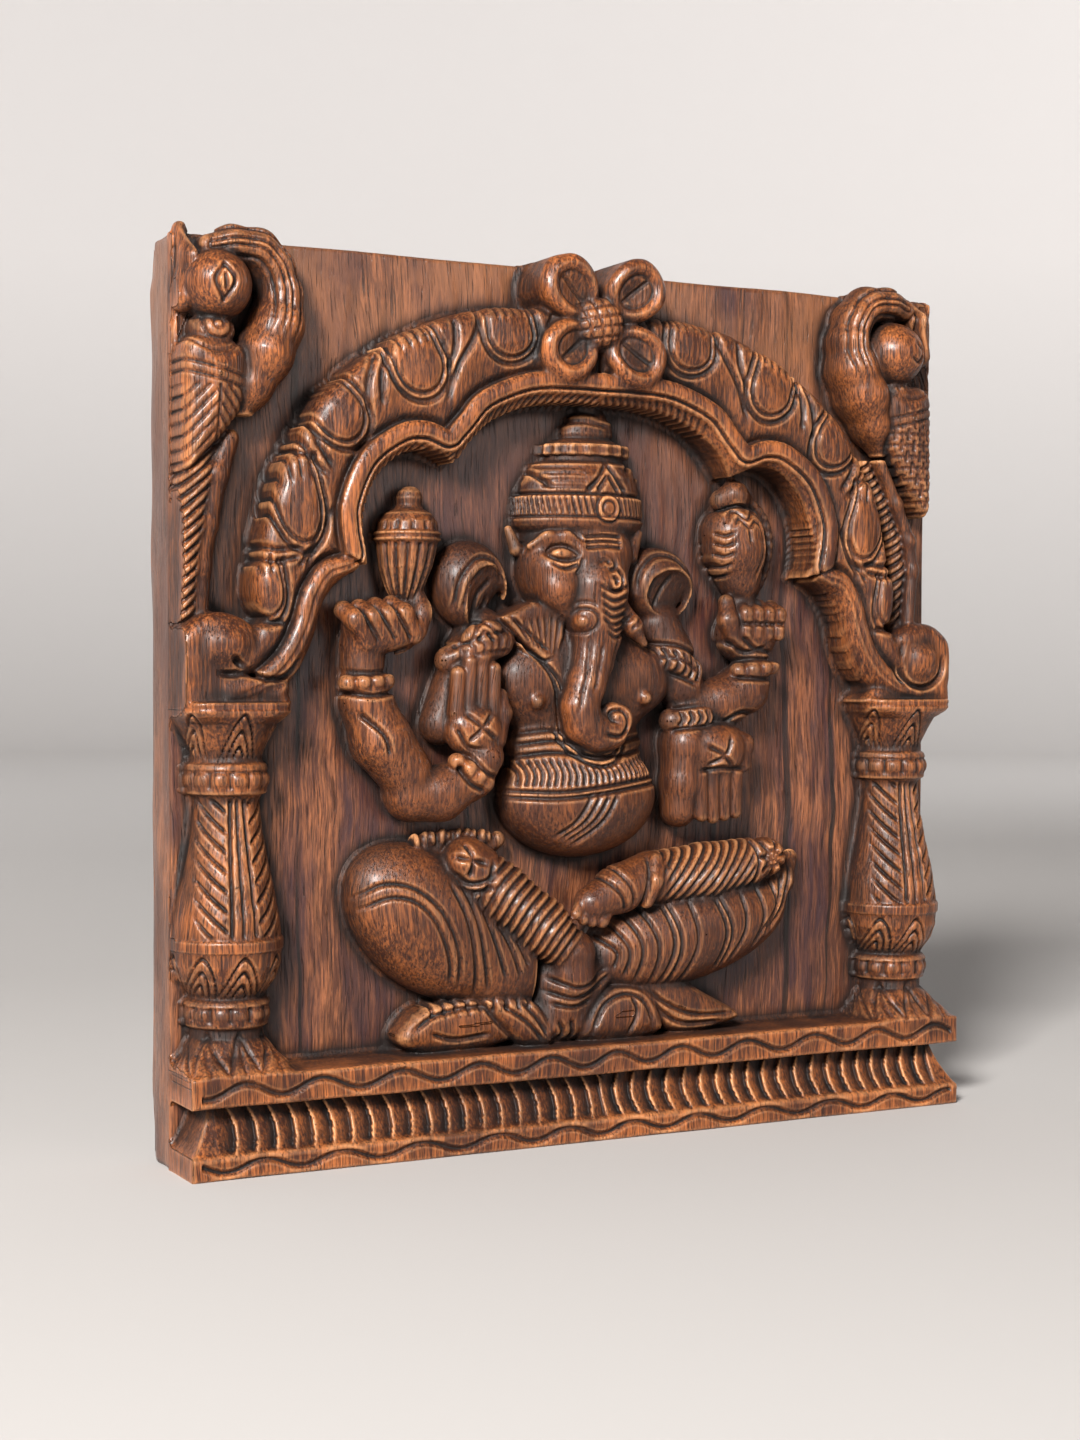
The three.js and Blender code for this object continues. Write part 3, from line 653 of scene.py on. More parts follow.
@shape("crown")
def crown(g):
    middle, r = g.at_heights(CROWN_TURNINGS)
    dx, dy = g.x - middle, (g.y + 2.0) / 0.62
    field = (np.sqrt(dx ** 2 + dy ** 2) - r) * 0.72
    u = np.arctan2(dx, -dy) * r
    ring = np.hypot(g.x - 2.2, g.z - 221.6)
    in_band = (g.z > 219) * (g.z < 225.6) * (ring > 5.2)
    hatch = stripes((u + 0.25 * g.z) / 2.5, 2.5, 0.75) * in_band
    lines = np.maximum(hump(g.z - 218.5, 0.8), hump(g.z - 226.4, 0.8))
    rings = np.maximum(hump(ring - 4.9, 0.9), hump(ring - 2.6, 0.8))
    field = field - 0.9 * (ring < 4.6) + 0.9 * np.maximum(hatch, np.maximum(lines, rings))
    beads = stripes(u / 6.5, 6.5, 2.6) * (g.z > 240.4) * (g.z < 244.9)
    field = field - 0.9 * beads + 0.6 * (hump(g.z - 240.2, 0.8) + hump(g.z - 245, 0.8))
    weave = stripes(g.z / 2.3, 2.3, 0.8) * (g.z > 228) * (g.z < 238) * (g.x < -6) * (g.x > -21)
    peaks = g.cut([[(-6, 227.5), (-1, 232), (3.2, 237.6)], [(3.2, 237.6), (7, 232), (10.5, 227.5)],
                   [(-1.5, 227.8), (3, 233.5)], [(3, 233.5), (7, 227.8)], [(-28, 229), (-23, 234.5)],
                   [(-23, 234.5), (-18, 229)], [(12, 235), (16, 238), (19, 235.5), (17, 232.5)]], 1.2, 1.2)
    dome = g.cut([[(-13, 251), (-4, 252.6), (7, 251.4)],
                  [(-9, 255.2), (-3, 256.2), (3.5, 255.6)]], 1.1, 0.8)
    return field + 0.45 * weave + peaks + dome


@shape("head")
def head(g):
    skull = g.ball((-6, -4.5, 200.5), (21, 14.5, 19))
    cheek = g.limb([[-17, -11.5, 200, 6.8], [-15.5, -12, 193, 7.4], [-12, -11.5, 187, 5.5]])
    bridge = g.ball((1.5, -9.5, 206), (13.5, 9.5, 11.5))
    field = melt(melt(skull, bridge, 3), cheek, 3)
    socket = np.sqrt(((g.x + 15.6) / 7.2) ** 2 + ((g.z - 205.6) / 4.4) ** 2)
    field = field + 1.5 * unit(1 - socket ** 2)
    brow = g.limb([[-25.5, -10, 208, 0.9], [-20, -12.6, 211.6, 1.1], [-13, -14.4, 212, 1.1],
                   [-8, -15, 209.4, 0.9]], soft=3)
    eye = g.ball((-15.4, -14.6, 205.3), (4.1, 3.1, 2.2), 4)
    field = melt(melt(field, eye, 0.8), brow, 2.6)
    lids = g.cut([[(-20.8, 204.8), (-18.4, 207.4), (-14.8, 208.0), (-11.2, 206.6), (-9.6, 204.2)],
                  [(-20.8, 204.8), (-17.6, 203), (-13.2, 202.8), (-9.6, 204.2)],
                  [(-20, 201.8), (-15.6, 200), (-10.6, 201.6)],
                  [(-25.5, 211.6), (-19, 214.6), (-12.4, 214.2), (-8, 210)],
                  [(-26, 214), (-19, 216.4), (-12, 216)],
                  [(-8.6, 204), (-9.6, 200.6), (-11.4, 198)]], 0.9, 0.75)
    marks = g.cut([[(-6.4, z), (0, z + 0.4), (6.2, z + 0.2)] for z in (207.6, 209.5, 211.4)], 0.9,
                  1.0, ends=False)
    sides = melt(g.limb([[-30, -2.5, 214, 1.4], [-27.5, -4, 207, 2.6]]),
                 g.limb([[19, -9, 213.5, 1.4], [15, -9, 206, 3.4]]), 1)
    return melt(field + lids + marks, sides, 1.2)


@shape("trunk", margin=8)
def trunk(g):
    field = g.limb([[0.6, -8.5, 200, 12], [-0.6, -10.8, 193, 12], [-1.5, -12, 184.5, 10.6],
                    [-0.8, -13, 177, 8.6], [-2.9, -14.4, 168.5, 7.2], [-6, -15.5, 160, 6.9],
                    [-9, -16.4, 152, 6.6], [-7.6, -16.6, 145.8, 6.4], [-2.8, -16.6, 142.6, 6.2],
                    [3, -16.6, 143.2, 5.7], [6.4, -16.6, 147.6, 4.6], [3.6, -17.6, 150, 3.4]], soft=3.0)
    knob = g.ball((-8.6, -17.5, 182), (3.0, 4.0, 3.0))
    ring = np.hypot(g.x + 8.8, g.z - 182)
    rings = 0.9 * hump(ring - 4.2, 0.9) + 0.6 * hump(ring - 6.6, 0.9) * (g.x < -5) * (g.z > 178)
    field = melt(field + rings, knob, 0.8)
    wrinkles = [[(-4.5 + 0.14 * (197 - z), z), (1.5, z - 2.4), (9, z - 0.2)]
                for z in (194.6, 191.4, 188.4, 185.6, 183)]
    wrinkles += [[(-0.5, z), (3, z - 1.8), (8, z)] for z in (180.4, 178)]
    curl = [(3.2 + r * math.cos(a), 147.6 + r * math.sin(a))
            for a, r in ((-2.4, 7.5), (-1.4, 6), (-0.4, 5), (0.7, 4), (1.9, 2.9), (3.2, 2), (4.6, 1.2))]
    hook = [[(-4.8, 203.4), (-1.6, 206), (2.6, 204), (3.2, 200.6), (0, 199.4)],
            [(-3, 202.4), (-0.6, 203.6), (1, 202)], [(1.4, 197.4), (3.2, 196), (2, 194.6)],
            [(3.6, 200.4), (6, 197.4), (5, 193.4), (1.4, 192.6), (-1, 195)]]
    lines = g.cut(wrinkles, 0.9, 0.7) + g.cut([curl, *hook], 1.1, 1.0)
    edges = g.cut([[(-6.4, 177), (-8, 166), (-10.6, 157), (-12.4, 150)],
                   [(4.8, 176), (2.4, 167), (0, 158), (-2, 152)],
                   [(-2.4, 174), (-4, 166), (-6.6, 157)]], 0.9, 0.5)
    return field + lines + edges


@shape("tusk", margin=4)
def tusk(g):
    field = g.limb([[8.5, -12, 187.5, 3.8], [13, -14.4, 180.6, 3.5], [18, -14.6, 174.4, 1.3]], flat=1.2)
    return field + g.cut([[(9.5, 182), (12.5, 185)], [(11.5, 179.5), (15, 182.5)]], 1.0, 0.6)


def ear(g, centre, radii, tilt, hollow, lines):
    field = g.ball(centre, radii, tilt)
    hx, hz, rx, rz = hollow
    far = ((g.x - hx) / rx) ** 2 + ((g.z - hz) / rz) ** 2
    return field + 5.5 * unit(1 - far) ** 0.7 + g.cut(lines, 1.1, 0.8)


@shape("ear_left", margin=6)
def ear_left(g):
    lines = [[(-54.5, 186), (-53, 196), (-46.5, 203), (-39, 202), (-34.5, 196)],
             [(-51.6, 186), (-50, 194), (-45, 199.6)], [(-47, 184), (-45.4, 191), (-40.5, 196)],
             [(-43, 184), (-41, 190)]]
    return ear(g, (-46, -3.5, 194), (14, 11, 15.5), -12, (-41.5, 189, 9, 12), lines)


@shape("ear_right", margin=6)
def ear_right(g):
    lines = [[(17.5, 193), (19, 200), (25, 205.4), (33, 205), (39.5, 200)],
             [(25, 187), (28, 194), (32, 199.5)], [(21.5, 191), (24, 198)]]
    return ear(g, (28.5, -3.5, 195.5), (15, 11, 13.5), 12, (31.5, 192.5, 10.5, 8.5), lines)


@shape("torso", margin=6)
def torso(g):
    field = g.ball((-3.5, -2, 160), (31, 13, 26))
    for x, z in ((-23, 161), (20.5, 162)):
        breast = melt(g.ball((x, -6, z), (12.5, 8, 12.5)),
                      g.ball((x - 1, -12.8, z - 7), (2.4, 2.8, 2.4)), 2)
        field = melt(field, breast, 4)
    flap = g.slab(g.inside([(-37, 183), (-25, 188.5), (-12, 187), (-13, 176), (-17, 167), (-22, 167),
                            (-30, 173)]), -13.4, 2.2)
    hatch = g.cut(between([(-32, 182), (-15, 184.5)], [(-26, 173), (-17, 170)], 7), 0.9, 0.5)
    border = g.cut([[(-36, 180.5), (-28, 173.6), (-22, 168.4), (-17.5, 169)],
                    [(-34, 183), (-26, 177), (-20, 172)]], 0.9, 0.7)
    thread = g.cut([[(-31, 176), (-23, 168.5), (-17.5, 160), (-14.8, 148), (-12, 138)],
                    [(-28, 174), (-20.5, 167), (-14.6, 159), (-12.4, 148), (-10, 138)],
                    [(10, 186), (17, 177), (27, 171)], [(13, 188), (20, 179.5), (29, 174.5)]], 1.0, 0.9)
    return melt(field, flap, 1.2) + hatch + border + thread


@shape("belly", margin=6)
def belly(g):
    field = g.ball((-4, -4.5, 120.5), (31, 17.8, 22))
    field = melt(field, g.ball((-4, -2, 139), (27, 13, 13)), 5)
    pleats = between([(-31, 133), (-18, 133.5), (-4, 131), (10, 132.5), (22, 135)],
                     [(-31, 124), (-18, 124), (-3, 124.8), (12, 126), (25, 127.5)], 24, 0.12)
    lines = g.cut(pleats, 0.95, 0.7)
    belt = [(-34, 120.6), (-18, 120.2), (-3, 121.6), (12, 123.4), (26, 124.6)]
    lines += g.cut([belt, [(x, z + 2.1) for x, z in belt]], 1.1, 1.1)
    folds = [[(4 - 3.4 * i, 121.5), (-1.5 - 3.4 * i, 112), (-11 - 2.2 * i, 104 + i)] for i in range(4)]
    folds += [[(-30, 134.4), (-18, 136), (-6, 134.4), (8, 134.6), (22, 137)],
              [(-29, 138.5), (-18, 140), (-9, 138.6)], [(-28, 142.4), (-19, 143.6), (-12, 142.6)],
              [(8, 139), (15, 140.4), (22, 141)]]
    cord = [[(-15.4, 148), (-12.8, 140.4), (-7.6, 135.4), (-1, 133.4), (5.6, 135.6), (9.6, 141)],
            [(-17, 146), (-14.6, 138.6), (-8.8, 133.2), (-1, 131), (7, 133.6), (11.4, 140)]]
    return field + lines + g.cut(folds, 1.1, 0.8) + g.cut(cord, 1.0, 1.0)


BANGLE_LUMPS = 4


def bangle(g, centre, half, tilt, depth):
    """A band of lumps across a limb."""
    x, y, z = centre
    c, s = math.cos(math.radians(tilt)), math.sin(math.radians(tilt))
    radii = (half / BANGLE_LUMPS + 1.1, depth, 3.0)
    places = np.linspace(1.5 - half, half - 1.5, BANGLE_LUMPS)
    return melt_all([g.ball((x + a * c, y + 0.05 * a * a, z - a * s), radii, tilt) for a in places], 0.6)


@shape("upper_arm_left")
def upper_arm_left(g):
    arm = g.limb([[-41, -3, 178, 8.6], [-47, -4.5, 168, 8.8], [-57.5, -5, 146, 7.2]])
    armlet = melt(g.limb([[-55, -7, 168, 5], [-46, -10.5, 172, 6], [-37, -9, 174.5, 5.4]]),
                  g.ball((-45, -12.5, 177), (8, 4, 4.5), -18), 1)
    lines = g.cut([[(-57, 171), (-46, 176.4), (-36, 178)],
                   [(-56, 167), (-46, 170.5), (-35, 171.5)]], 0.9, 0.45)
    petals = g.cut(between([(-55, 173), (-37, 180)], [(-53, 168.5), (-36, 173)], 6, 0.2), 0.9, 0.35)
    leaf = g.cut([[(-50, 175), (-46, 181), (-40, 177)], [(-48, 174), (-45.6, 178), (-42, 175)]], 0.9, 0.6)
    return melt(arm, armlet, 1.5) + lines + petals + leaf


@shape("front_arm_left")
def front_arm_left(g):
    arm = g.limb([[-70, -8, 122.5, 9.6], [-60, -10, 122.5, 9.4], [-49, -12, 128.5, 8],
                  [-44, -13, 135, 6.5]])
    band = bangle(g, (-51, -18.5, 129.8), 8, 35, 3.6)
    lines = g.cut([[(-57, 133), (-53, 126.5), (-47, 123.5)], [(-52.5, 136.5), (-47, 130), (-41.5, 128)],
                   [(-74, 126), (-68, 131), (-62, 133)]], 1.1, 0.9)
    return melt(arm, band, 1.2) + lines


def hand(g, palm, fingers, thumb, lines):
    field = melt_all([g.ball(*palm)] + [g.limb(finger) for finger in fingers], 0.9)
    return melt(field, g.limb(thumb), 1.2) + g.cut(lines, 1.1, 0.9)


@shape("open_hand_left")
def open_hand_left(g):
    tips = (163.5, 167.6, 168.4, 165)
    fingers = [[[-55.2 + 4.5 * i, -13.6, 150, 3.0], [-54.6 + 4.5 * i, -13.8, tip, 2.6]]
               for i, tip in enumerate(tips)]
    lines = [[(-53, 149.5), (-47.5, 145), (-42, 141)], [(-43.5, 149.5), (-48, 144.6), (-52.5, 140.5)],
             [(-56.5, 145), (-52, 138.5), (-44, 136.8)]]
    thumb = [[-40, -13.5, 141, 3.6], [-37.2, -13, 150, 3], [-38, -12.6, 156, 2.5]]
    return hand(g, ((-48, -12.6, 144), (10.8, 7, 9.6)), fingers, thumb, lines)


@shape("rear_arm_left")
def rear_arm_left(g):
    arm = g.limb([[-87, -6, 166, 7.2], [-86, -7, 154, 9], [-81, -8, 141, 10.6], [-72, -8.5, 129.5, 9.6]])
    band = bangle(g, (-87.5, -13.5, 160.6), 8.4, -3, 3.8)
    lines = g.cut([[(-97, 157.4), (-87, 156), (-76, 157.6)], [(-97, 164.4), (-87, 163.6), (-76, 165)],
                   [(-91, 150), (-84, 143), (-81.5, 136)]], 1.1, 1.0)
    return melt(arm, band, 1.2) + lines


@shape("rear_hand_left", margin=7)
def rear_hand_left(g):
    fingers, gaps = [], []
    for i in range(4):
        x, z = -95 + 5.8 * i, 0.7 * i
        fingers.append([[x, -9, 184.6 + z, 3.3], [x + 2.5, -13.6, 181.4 + z, 3.5],
                        [x + 7, -12.6, 174.4 + z, 3.2]])
        gaps.append([(x + 3.4, 185.5 + z), (x + 6, 181 + z), (x + 10.4, 173.8 + z)])
    thumb = [[-67, -7, 190, 2.8], [-66, -9.5, 184.5, 3.4], [-69, -12, 178, 3.2]]
    palm = ((-81.5, -9, 178.5), (14, 8, 9), 8)
    wrist = g.limb([[-87, -6.5, 173, 8], [-87, -6, 164, 7]])
    fist = hand(g, palm, fingers, thumb, [[(-92, 171), (-83, 169.4), (-72, 172.6)]])
    return melt(fist + g.cut(gaps[:3], 0.9, 0.8), wrist, 2)


BUD_TURNINGS = [  # height, half width
    (186, 3.6), (189, 4.8), (193, 6.8), (200, 9.3), (206, 10.4), (208.2, 10.5), (208.8, 11.6),
    (211.4, 11.6), (212, 10.6), (215, 10.2), (218, 8), (219.6, 5.0), (221.0, 4.2), (223.4, 4.6),
    (225.6, 3.8), (227, 2.0), (227.8, -2),
]


@shape("lotus_bud", margin=5)
def lotus_bud(g):
    r, = g.at_heights(BUD_TURNINGS)
    dx, dy = g.x + 70.2 - 0.06 * (g.z - 205), g.y + 5.0
    field = (np.sqrt(dx ** 2 + dy ** 2) - r) * 0.85
    u = np.arctan2(dx, -dy)
    flute = stripes((u + 0.15) / 0.42, 0.42 * r, 1.2) * (g.z < 207.6) * (g.z > 188)
    dents = stripes(u / 0.5, 0.5 * r, 1.1) * (g.z > 212.4) * (g.z < 215.5)
    return field + 1.1 * flute + 0.8 * dents + 0.7 * hump(g.z - 210.2, 0.7)


@shape("upper_arm_right")
def upper_arm_right(g):
    arm = g.limb([[30, -3, 181, 8.6], [34, -5, 171, 8.6], [39, -5, 159, 8.4]])
    armlet = g.limb([[27, -8, 169, 4.8], [34, -10, 168, 5.4], [41, -8, 164.5, 4.8]])
    lines = [[(23, 174.5), (33, 173.6), (43, 169.5)], [(23, 165.5), (32, 163.4), (41, 159.5)],
             [(23, 170), (33, 168.6), (42, 164.6)]]
    lines += between([(24, 174), (42, 169)], [(25, 165.5), (41, 160.5)], 6, 0.15)
    return melt(arm, armlet, 1.5) + g.cut(lines, 1.1, 0.9)


@shape("rear_arm_right")
def rear_arm_right(g):
    arm = g.limb([[44, -5, 152, 8.2], [55, -7, 153, 9.2], [64, -8, 158, 9.2], [68, -8, 166, 7.4]])
    band = bangle(g, (66.5, -14.4, 165.4), 8.6, -6, 3.6)
    lines = g.cut([[(57, 162.2), (68, 161.6), (80, 162.4)], [(58, 169), (68, 169), (79, 168.4)],
                   [(52, 146), (58, 149.5), (66, 149.5)]], 1.1, 1.0)
    return melt(arm, band, 1.2) + lines


@shape("rear_hand_right", margin=7)
def rear_hand_right(g):
    fingers = []
    for i in range(4):
        x = 61.5 + 4.7 * i
        fingers.append([[x, -8.5, 188.5, 2.4], [x + 0.6, -13, 185.4, 2.6], [x + 0.4, -13.2, 178, 2.4]])
    lines = [[(60.4 + 4.7 * i, 182), (63.6 + 4.7 * i, 181.6)] for i in range(4)]
    lines += [[(55, 175.6), (62, 171.6), (70, 173.4)], [(60, 177), (66, 172.6), (75, 171)]]
    thumb = [[56, -9, 189.6, 3.0], [55.2, -11.5, 183, 3.6], [59, -11, 175, 3.2]]
    return hand(g, ((66, -6.5, 178), (12.5, 8.6, 11), 0), fingers, thumb, lines)


@shape("serpent_noose", margin=7)
def serpent_noose(g):
    body = g.limb([[61, -5, 214, 12], [61.5, -5.5, 208, 11.6], [63, -6, 199, 8], [64, -6, 192, 5.5]])
    sheath = [(66.5, 228), (73.5, 221), (76, 211), (73.5, 200), (68, 191)]
    rim = g.limb([[x, -3.5, z, 2.2] for x, z in smooth_path(sheath, 3)], flat=2.0, soft=1.0)
    neck = g.limb([[56.5, -5, 227, 4.4], [60.5, -7, 228.6, 5.2], [65, -5, 227.6, 4]])
    point = g.limb([[60, -6, 230, 3.6], [59.4, -6, 234.6, 1.6]])
    field = melt(melt(body, rim, 1.2), melt(neck, point, 1.0), 1.0)
    lines = [[(53.5, 219), (57, 222.6), (61, 219.5), (65, 222.4), (70, 218), (71, 208), (67.6, 197)],
             [(55.4, 217), (58, 219.6), (61.2, 216.5), (64.6, 219), (67.8, 215.6), (68.4, 208),
              (65.6, 199)], [(61.2, 216.5), (61.8, 211)], [(53, 222.5), (60, 225), (67, 222.6)]]
    notches = [[(50.5, z), (53, z - 1), (55.6, z + 0.2)] for z in (199.6, 203.4, 207.2, 211, 214.6)]
    return field + g.cut(lines, 0.8, 0.6) + g.cut(notches, 0.8, 0.8)


@shape("front_arm_right")
def front_arm_right(g):
    arm = g.limb([[40.5, -5, 148, 8], [38.4, -7, 138, 7.4], [37.4, -7, 124, 6.8],
                  [37, -6.5, 114, 6.2]], flat=1.2)
    cuff = g.limb([[34, -8, 146.5, 5], [43, -10, 148, 5.4], [52, -8, 149, 4.4]])
    lines = [[(32, 143.4), (42, 144.4), (53, 145)], [(33, 150.6), (43, 152), (53, 152)]]
    lines += between([(35, 150), (50, 151)], [(34, 144.6), (51, 145.4)], 6, 0.2)
    return melt(arm, cuff, 1.2) + g.cut(lines, 1.1, 0.9)


@shape("open_hand_right")
def open_hand_right(g):
    fingers = [[[42.6 + 5.0 * i, -12.6, 129, 3.1], [44 + 4.7 * i, -12, 111.6 + 0.8 * abs(i - 1), 2.5]]
               for i in range(4)]
    lines = [[(43.5, 137.5), (49, 134.6), (54.6, 129.6)], [(53, 140.6), (50.5, 134.6), (44, 130.6)],
             [(41, 128.6), (50, 129.6), (60, 129)]]
    thumb = [[56, -11.5, 142, 3.2], [61.6, -12, 138, 3.6], [61.4, -12, 130.6, 3.2]]
    return hand(g, ((50.4, -10.5, 136), (12.6, 8.6, 10.4)), fingers, thumb, lines)


def ribbed(g, start, end, pitch, bow, depth, width=1.5, lean=0.0):
    """Cuts across a limb, evenly spaced along the line from start to end in the panel's plane."""
    (ax, az), (bx, bz) = start, end
    length = math.hypot(bx - ax, bz - az)
    dx, dz = (bx - ax) / length, (bz - az) / length
    along = (g.x - ax) * dx + (g.z - az) * dz
    across = (g.x - ax) * dz - (g.z - az) * dx
    phase = (along + bow * across ** 2 / 10 + lean * across) / pitch
    mask = unit(along) * unit(length - along)
    return depth * stripes(phase, pitch, width) * mask


@shape("shin_left", margin=7)
def shin_left(g):
    shin = g.limb([[-50, -11, 98, 9.4], [-38, -12, 88, 10.6], [-22, -12, 75.5, 10.4], [-10.5, -11, 66, 8]])
    shin = shin + ribbed(g, (-46, 94.5), (-9.5, 65), 3.5, -0.35, 1.25, 1.4)
    knee = g.ball((-52.6, -14.6, 99.6), (5.9, 6.6, 5.9))
    cap = g.cut([[(-57, 101), (-52, 100), (-47, 98.6)], [(-53.4, 105), (-52, 99.6), (-52.6, 94.6)],
                 [(-58, 95.5), (-52, 92), (-46, 93.5), (-44, 98.6)],
                 [(-59.5, 93), (-52, 88.6), (-44, 90.6)]], 1.2, 1.1)
    tuft = []
    for i in range(7):
        x = -70 + 5.2 * i
        tuft.append(g.limb([[x, -5, 104, 3.6], [x + 2.2, -7, 107.6 - 0.2 * (i - 3) ** 2, 3.0]]))
    frill = g.cut(between([(-72, 104), (-38, 104)], [(-70, 112), (-36, 111)], 12, 0.2), 0.9, 0.45)
    return melt(melt(shin, knee, 1.0) + cap, melt_all(tuft, 0.7) + frill, 1.0)


@shape("foot_left", margin=8)
def foot_left(g):
    outline = [(-21, 60), (-14, 67), (-4, 67), (10, 59), (6, 51), (-1, 42), (-5, 35), (-22, 34.5),
               (-23, 42), (-22, 51)]
    edge = g.inside(outline, rounding=4)
    field = g.slab(edge, -13.5 + 0.08 * (g.z - 34) - 2.2 * unit(-edge / 8), 5)
    field = melt(field, g.limb([[-9, -11, 65, 8.6], [-9, -11.5, 57, 7.6], [-14, -9, 43, 5]]), 3)
    lines = [[(-19, 57), (-10, 53.6), (-2, 56), (5, 60)], [(-20, 52.6), (-11, 49.8), (-3, 52), (6, 57)],
             [(-18, 48), (-10, 46.6), (-3, 48.6)], [(-16, 42), (-14, 38), (-16, 35)],
             [(-11, 42), (-10, 38), (-11, 35)]]
    return field + g.cut(lines, 1.0, 0.8)


@shape("foot_right", margin=6)
def foot_right(g):
    field = g.limb([[22, -11, 90.5, 9.2], [9, -12, 87, 8.4], [-2, -13, 82.5, 6.4]])
    for x, z, r in ((-9.6, 79.2, 2.1), (-6.6, 77.4, 2.2), (-3.2, 76.6, 2.3), (0.8, 76.4, 2.6)):
        field = melt(field, g.limb([[x, -15.5, z, r], [x + 4, -13.5, z + 5, r]]), 0.7)
    anklet = g.limb([[18, -17, 83, 2.8], [20.5, -19, 90, 3.0], [22.4, -16, 97, 2.6]], soft=1)
    lines = g.cut([[(15.4, 80), (17, 89), (19, 98)], [(21.6, 80), (23.4, 89), (25.4, 97)],
                   [(0, 92), (6, 86), (9, 80)], [(5, 95), (10, 88), (12, 82)]], 0.9, 0.7)
    return melt(field, anklet, 0.8) + lines


@shape("shin_right", margin=7)
def shin_right(g):
    shin = g.limb([[25, -10.5, 90.5, 9.6], [45, -11, 92, 10.2], [64, -10, 94.5, 9]])
    shin = shin + ribbed(g, (24, 90), (64, 94), 4.2, -0.15, 1.3, 1.5, lean=0.95)
    knee = g.ball((72, -9.5, 96), (8.4, 8.5, 7.4), -8)
    petals = [[(72, 96), (72 + 7.5 * math.cos(a), 96 + 6.5 * math.sin(a))]
              for a in np.arange(0.3, 6.3, 0.9)]
    ring = [(72 + 3 * math.cos(a), 96 + 2.8 * math.sin(a)) for a in np.arange(0, 6.8, 0.5)]
    lines = g.cut(petals + [ring, [(63.5, 87), (65, 95), (63.6, 103)]], 1.1, 1.0)
    return melt(shin, knee, 1.0) + lines


@shape("thigh_left", margin=6)
def thigh_left(g):
    field = g.ball((-61.5, -3.5, 78), (34.5, 17, 23), 38)
    drape = g.ball((-38, -4, 66), (24, 13, 19), 40)
    field = melt(field, drape, 3)
    lines = [[(-91, 88), (-82, 92.6), (-72, 90.6), (-63, 82.5), (-57, 70), (-54.5, 56)],
             [(-89.5, 84), (-81, 88), (-72.6, 86.5), (-65.6, 79.5), (-60, 67), (-58, 57)],
             [(-59, 92), (-53.5, 80), (-50, 66), (-47.5, 53)],
             [(-55, 93), (-49.5, 80), (-46, 66), (-43, 54)], [(-47, 84), (-42, 72), (-37, 58)],
             [(-42, 81), (-36, 70), (-31, 58)], [(-33, 72), (-28, 62)]]
    return field + g.cut(lines, 0.95, 0.75)


@shape("thigh_right", margin=7)
def thigh_right(g):
    field = g.ball((41, -4.5, 70), (44, 16, 18.5), -13)
    tail = g.limb([[70, -6, 76, 8], [82, -5, 87, 5.5], [88, -3, 95, 3]])
    field = melt(field, tail, 3)
    tops = [(2, 70), (6.5, 75), (11, 79.5), (17, 81.5), (25.5, 82), (27.8, 82), (36, 82), (46.5, 83),
            (48.8, 83), (58, 84), (66, 86), (74, 88)]
    feet = [(7, 59), (11, 56), (15.5, 54), (21.5, 53), (25, 52), (28.5, 52), (33.5, 52.6), (47.5, 57),
            (50.4, 58), (54, 60), (64, 64), (70, 69)]
    lines = [[a, ((a[0] + b[0]) / 2 + 3.4, (a[1] + b[1]) / 2), b] for a, b in zip(tops, feet)]
    lines += [[(80, 90), (76, 79), (66, 67.5)], [(84, 92), (80, 80), (71, 69.5)]]
    return field + g.cut(lines, 1.0, 0.8)


def seat_leaf(g, outline, face, lines):
    edge = g.inside(outline, rounding=4)
    t = unit(-edge / 9)
    return g.slab(edge, face - 4.0 * np.sqrt(t * (2 - t)), 2.5) + g.cut(lines, 1.1, 0.9)


@shape("seat_left", margin=5)
def seat_left(g):
    outline = [(-75, 40), (-66, 49), (-48, 52), (-32, 51), (-26, 42), (-34, 35), (-58, 33), (-70, 34.5)]
    big = seat_leaf(g, outline, -9, [
        [(-70, 42), (-62, 46.5), (-48, 48.5), (-34, 48)], [(-64, 40.5), (-55, 38), (-42, 39)],
        [(-45, 50), (-38, 42), (-30, 36)], [(-40, 51), (-33, 43), (-26, 37)]])
    small = seat_leaf(g, [(-44, 51), (-30, 52), (-20, 45), (-17, 34), (-28, 33.5), (-36, 40)], -11.5,
                      [[(-38, 49), (-29, 43), (-22, 36)], [(-30, 49.5), (-24, 43), (-20, 37)]])
    pleats = g.cut(between([(-66, 52), (-30, 53.5)], [(-63, 46), (-27, 47)], 9, 0.2), 1.0, 0.9)
    return melt(big, small, 1.0) + pleats


@shape("seat_right", margin=6)
def seat_right(g):
    outline = [(-6, 34), (-2, 46), (8, 52.5), (20, 51), (27, 42), (25, 34)]
    round_leaf = seat_leaf(g, outline, -11, [
        [(-2, 37), (3, 46), (11, 49.5), (19, 46.5), (23, 38)], [(13, 36), (16, 43), (14, 49)]])
    outline = [(16, 52), (34, 53.5), (48, 47), (62, 38.5), (50, 34.5), (34, 34), (24, 41)]
    long_leaf = seat_leaf(g, outline, -9.5, [
        [(17, 50), (26, 43), (36, 37.5), (52, 37)], [(21, 51), (29, 45), (40, 40.5), (57, 39.5)]])
    return melt(round_leaf, long_leaf, 1.0)


# ---- the carving as one surface, parted into pieces ----
FAR = 9.0                            # a field's value where no feature reaches
EDGE_BLURS = (1.0, 0.5)              # reaches in mm of the running means that tell arrises from grooves
HOLLOW_BLURS = (3.0, 3.5)            # and of those that tell how shut in a place is


def ground(x, z):
    """The depth of the board's face: nearly flat, with shallow upright gouge marks here and there."""
    face = GROUND + 0.25 * wander(x, z, 80, 40) + 0.10 * wander(3 * x, z, 34, 41)
    gouged = unit(wander(x, z, 90, 43) * 1.5 + 0.4)
    return face + 0.22 * gouged * np.abs(np.sin(x / 2.1 + 0.6 * np.sin(z / 17) + 0.4 * np.sin(z / 5.3)))


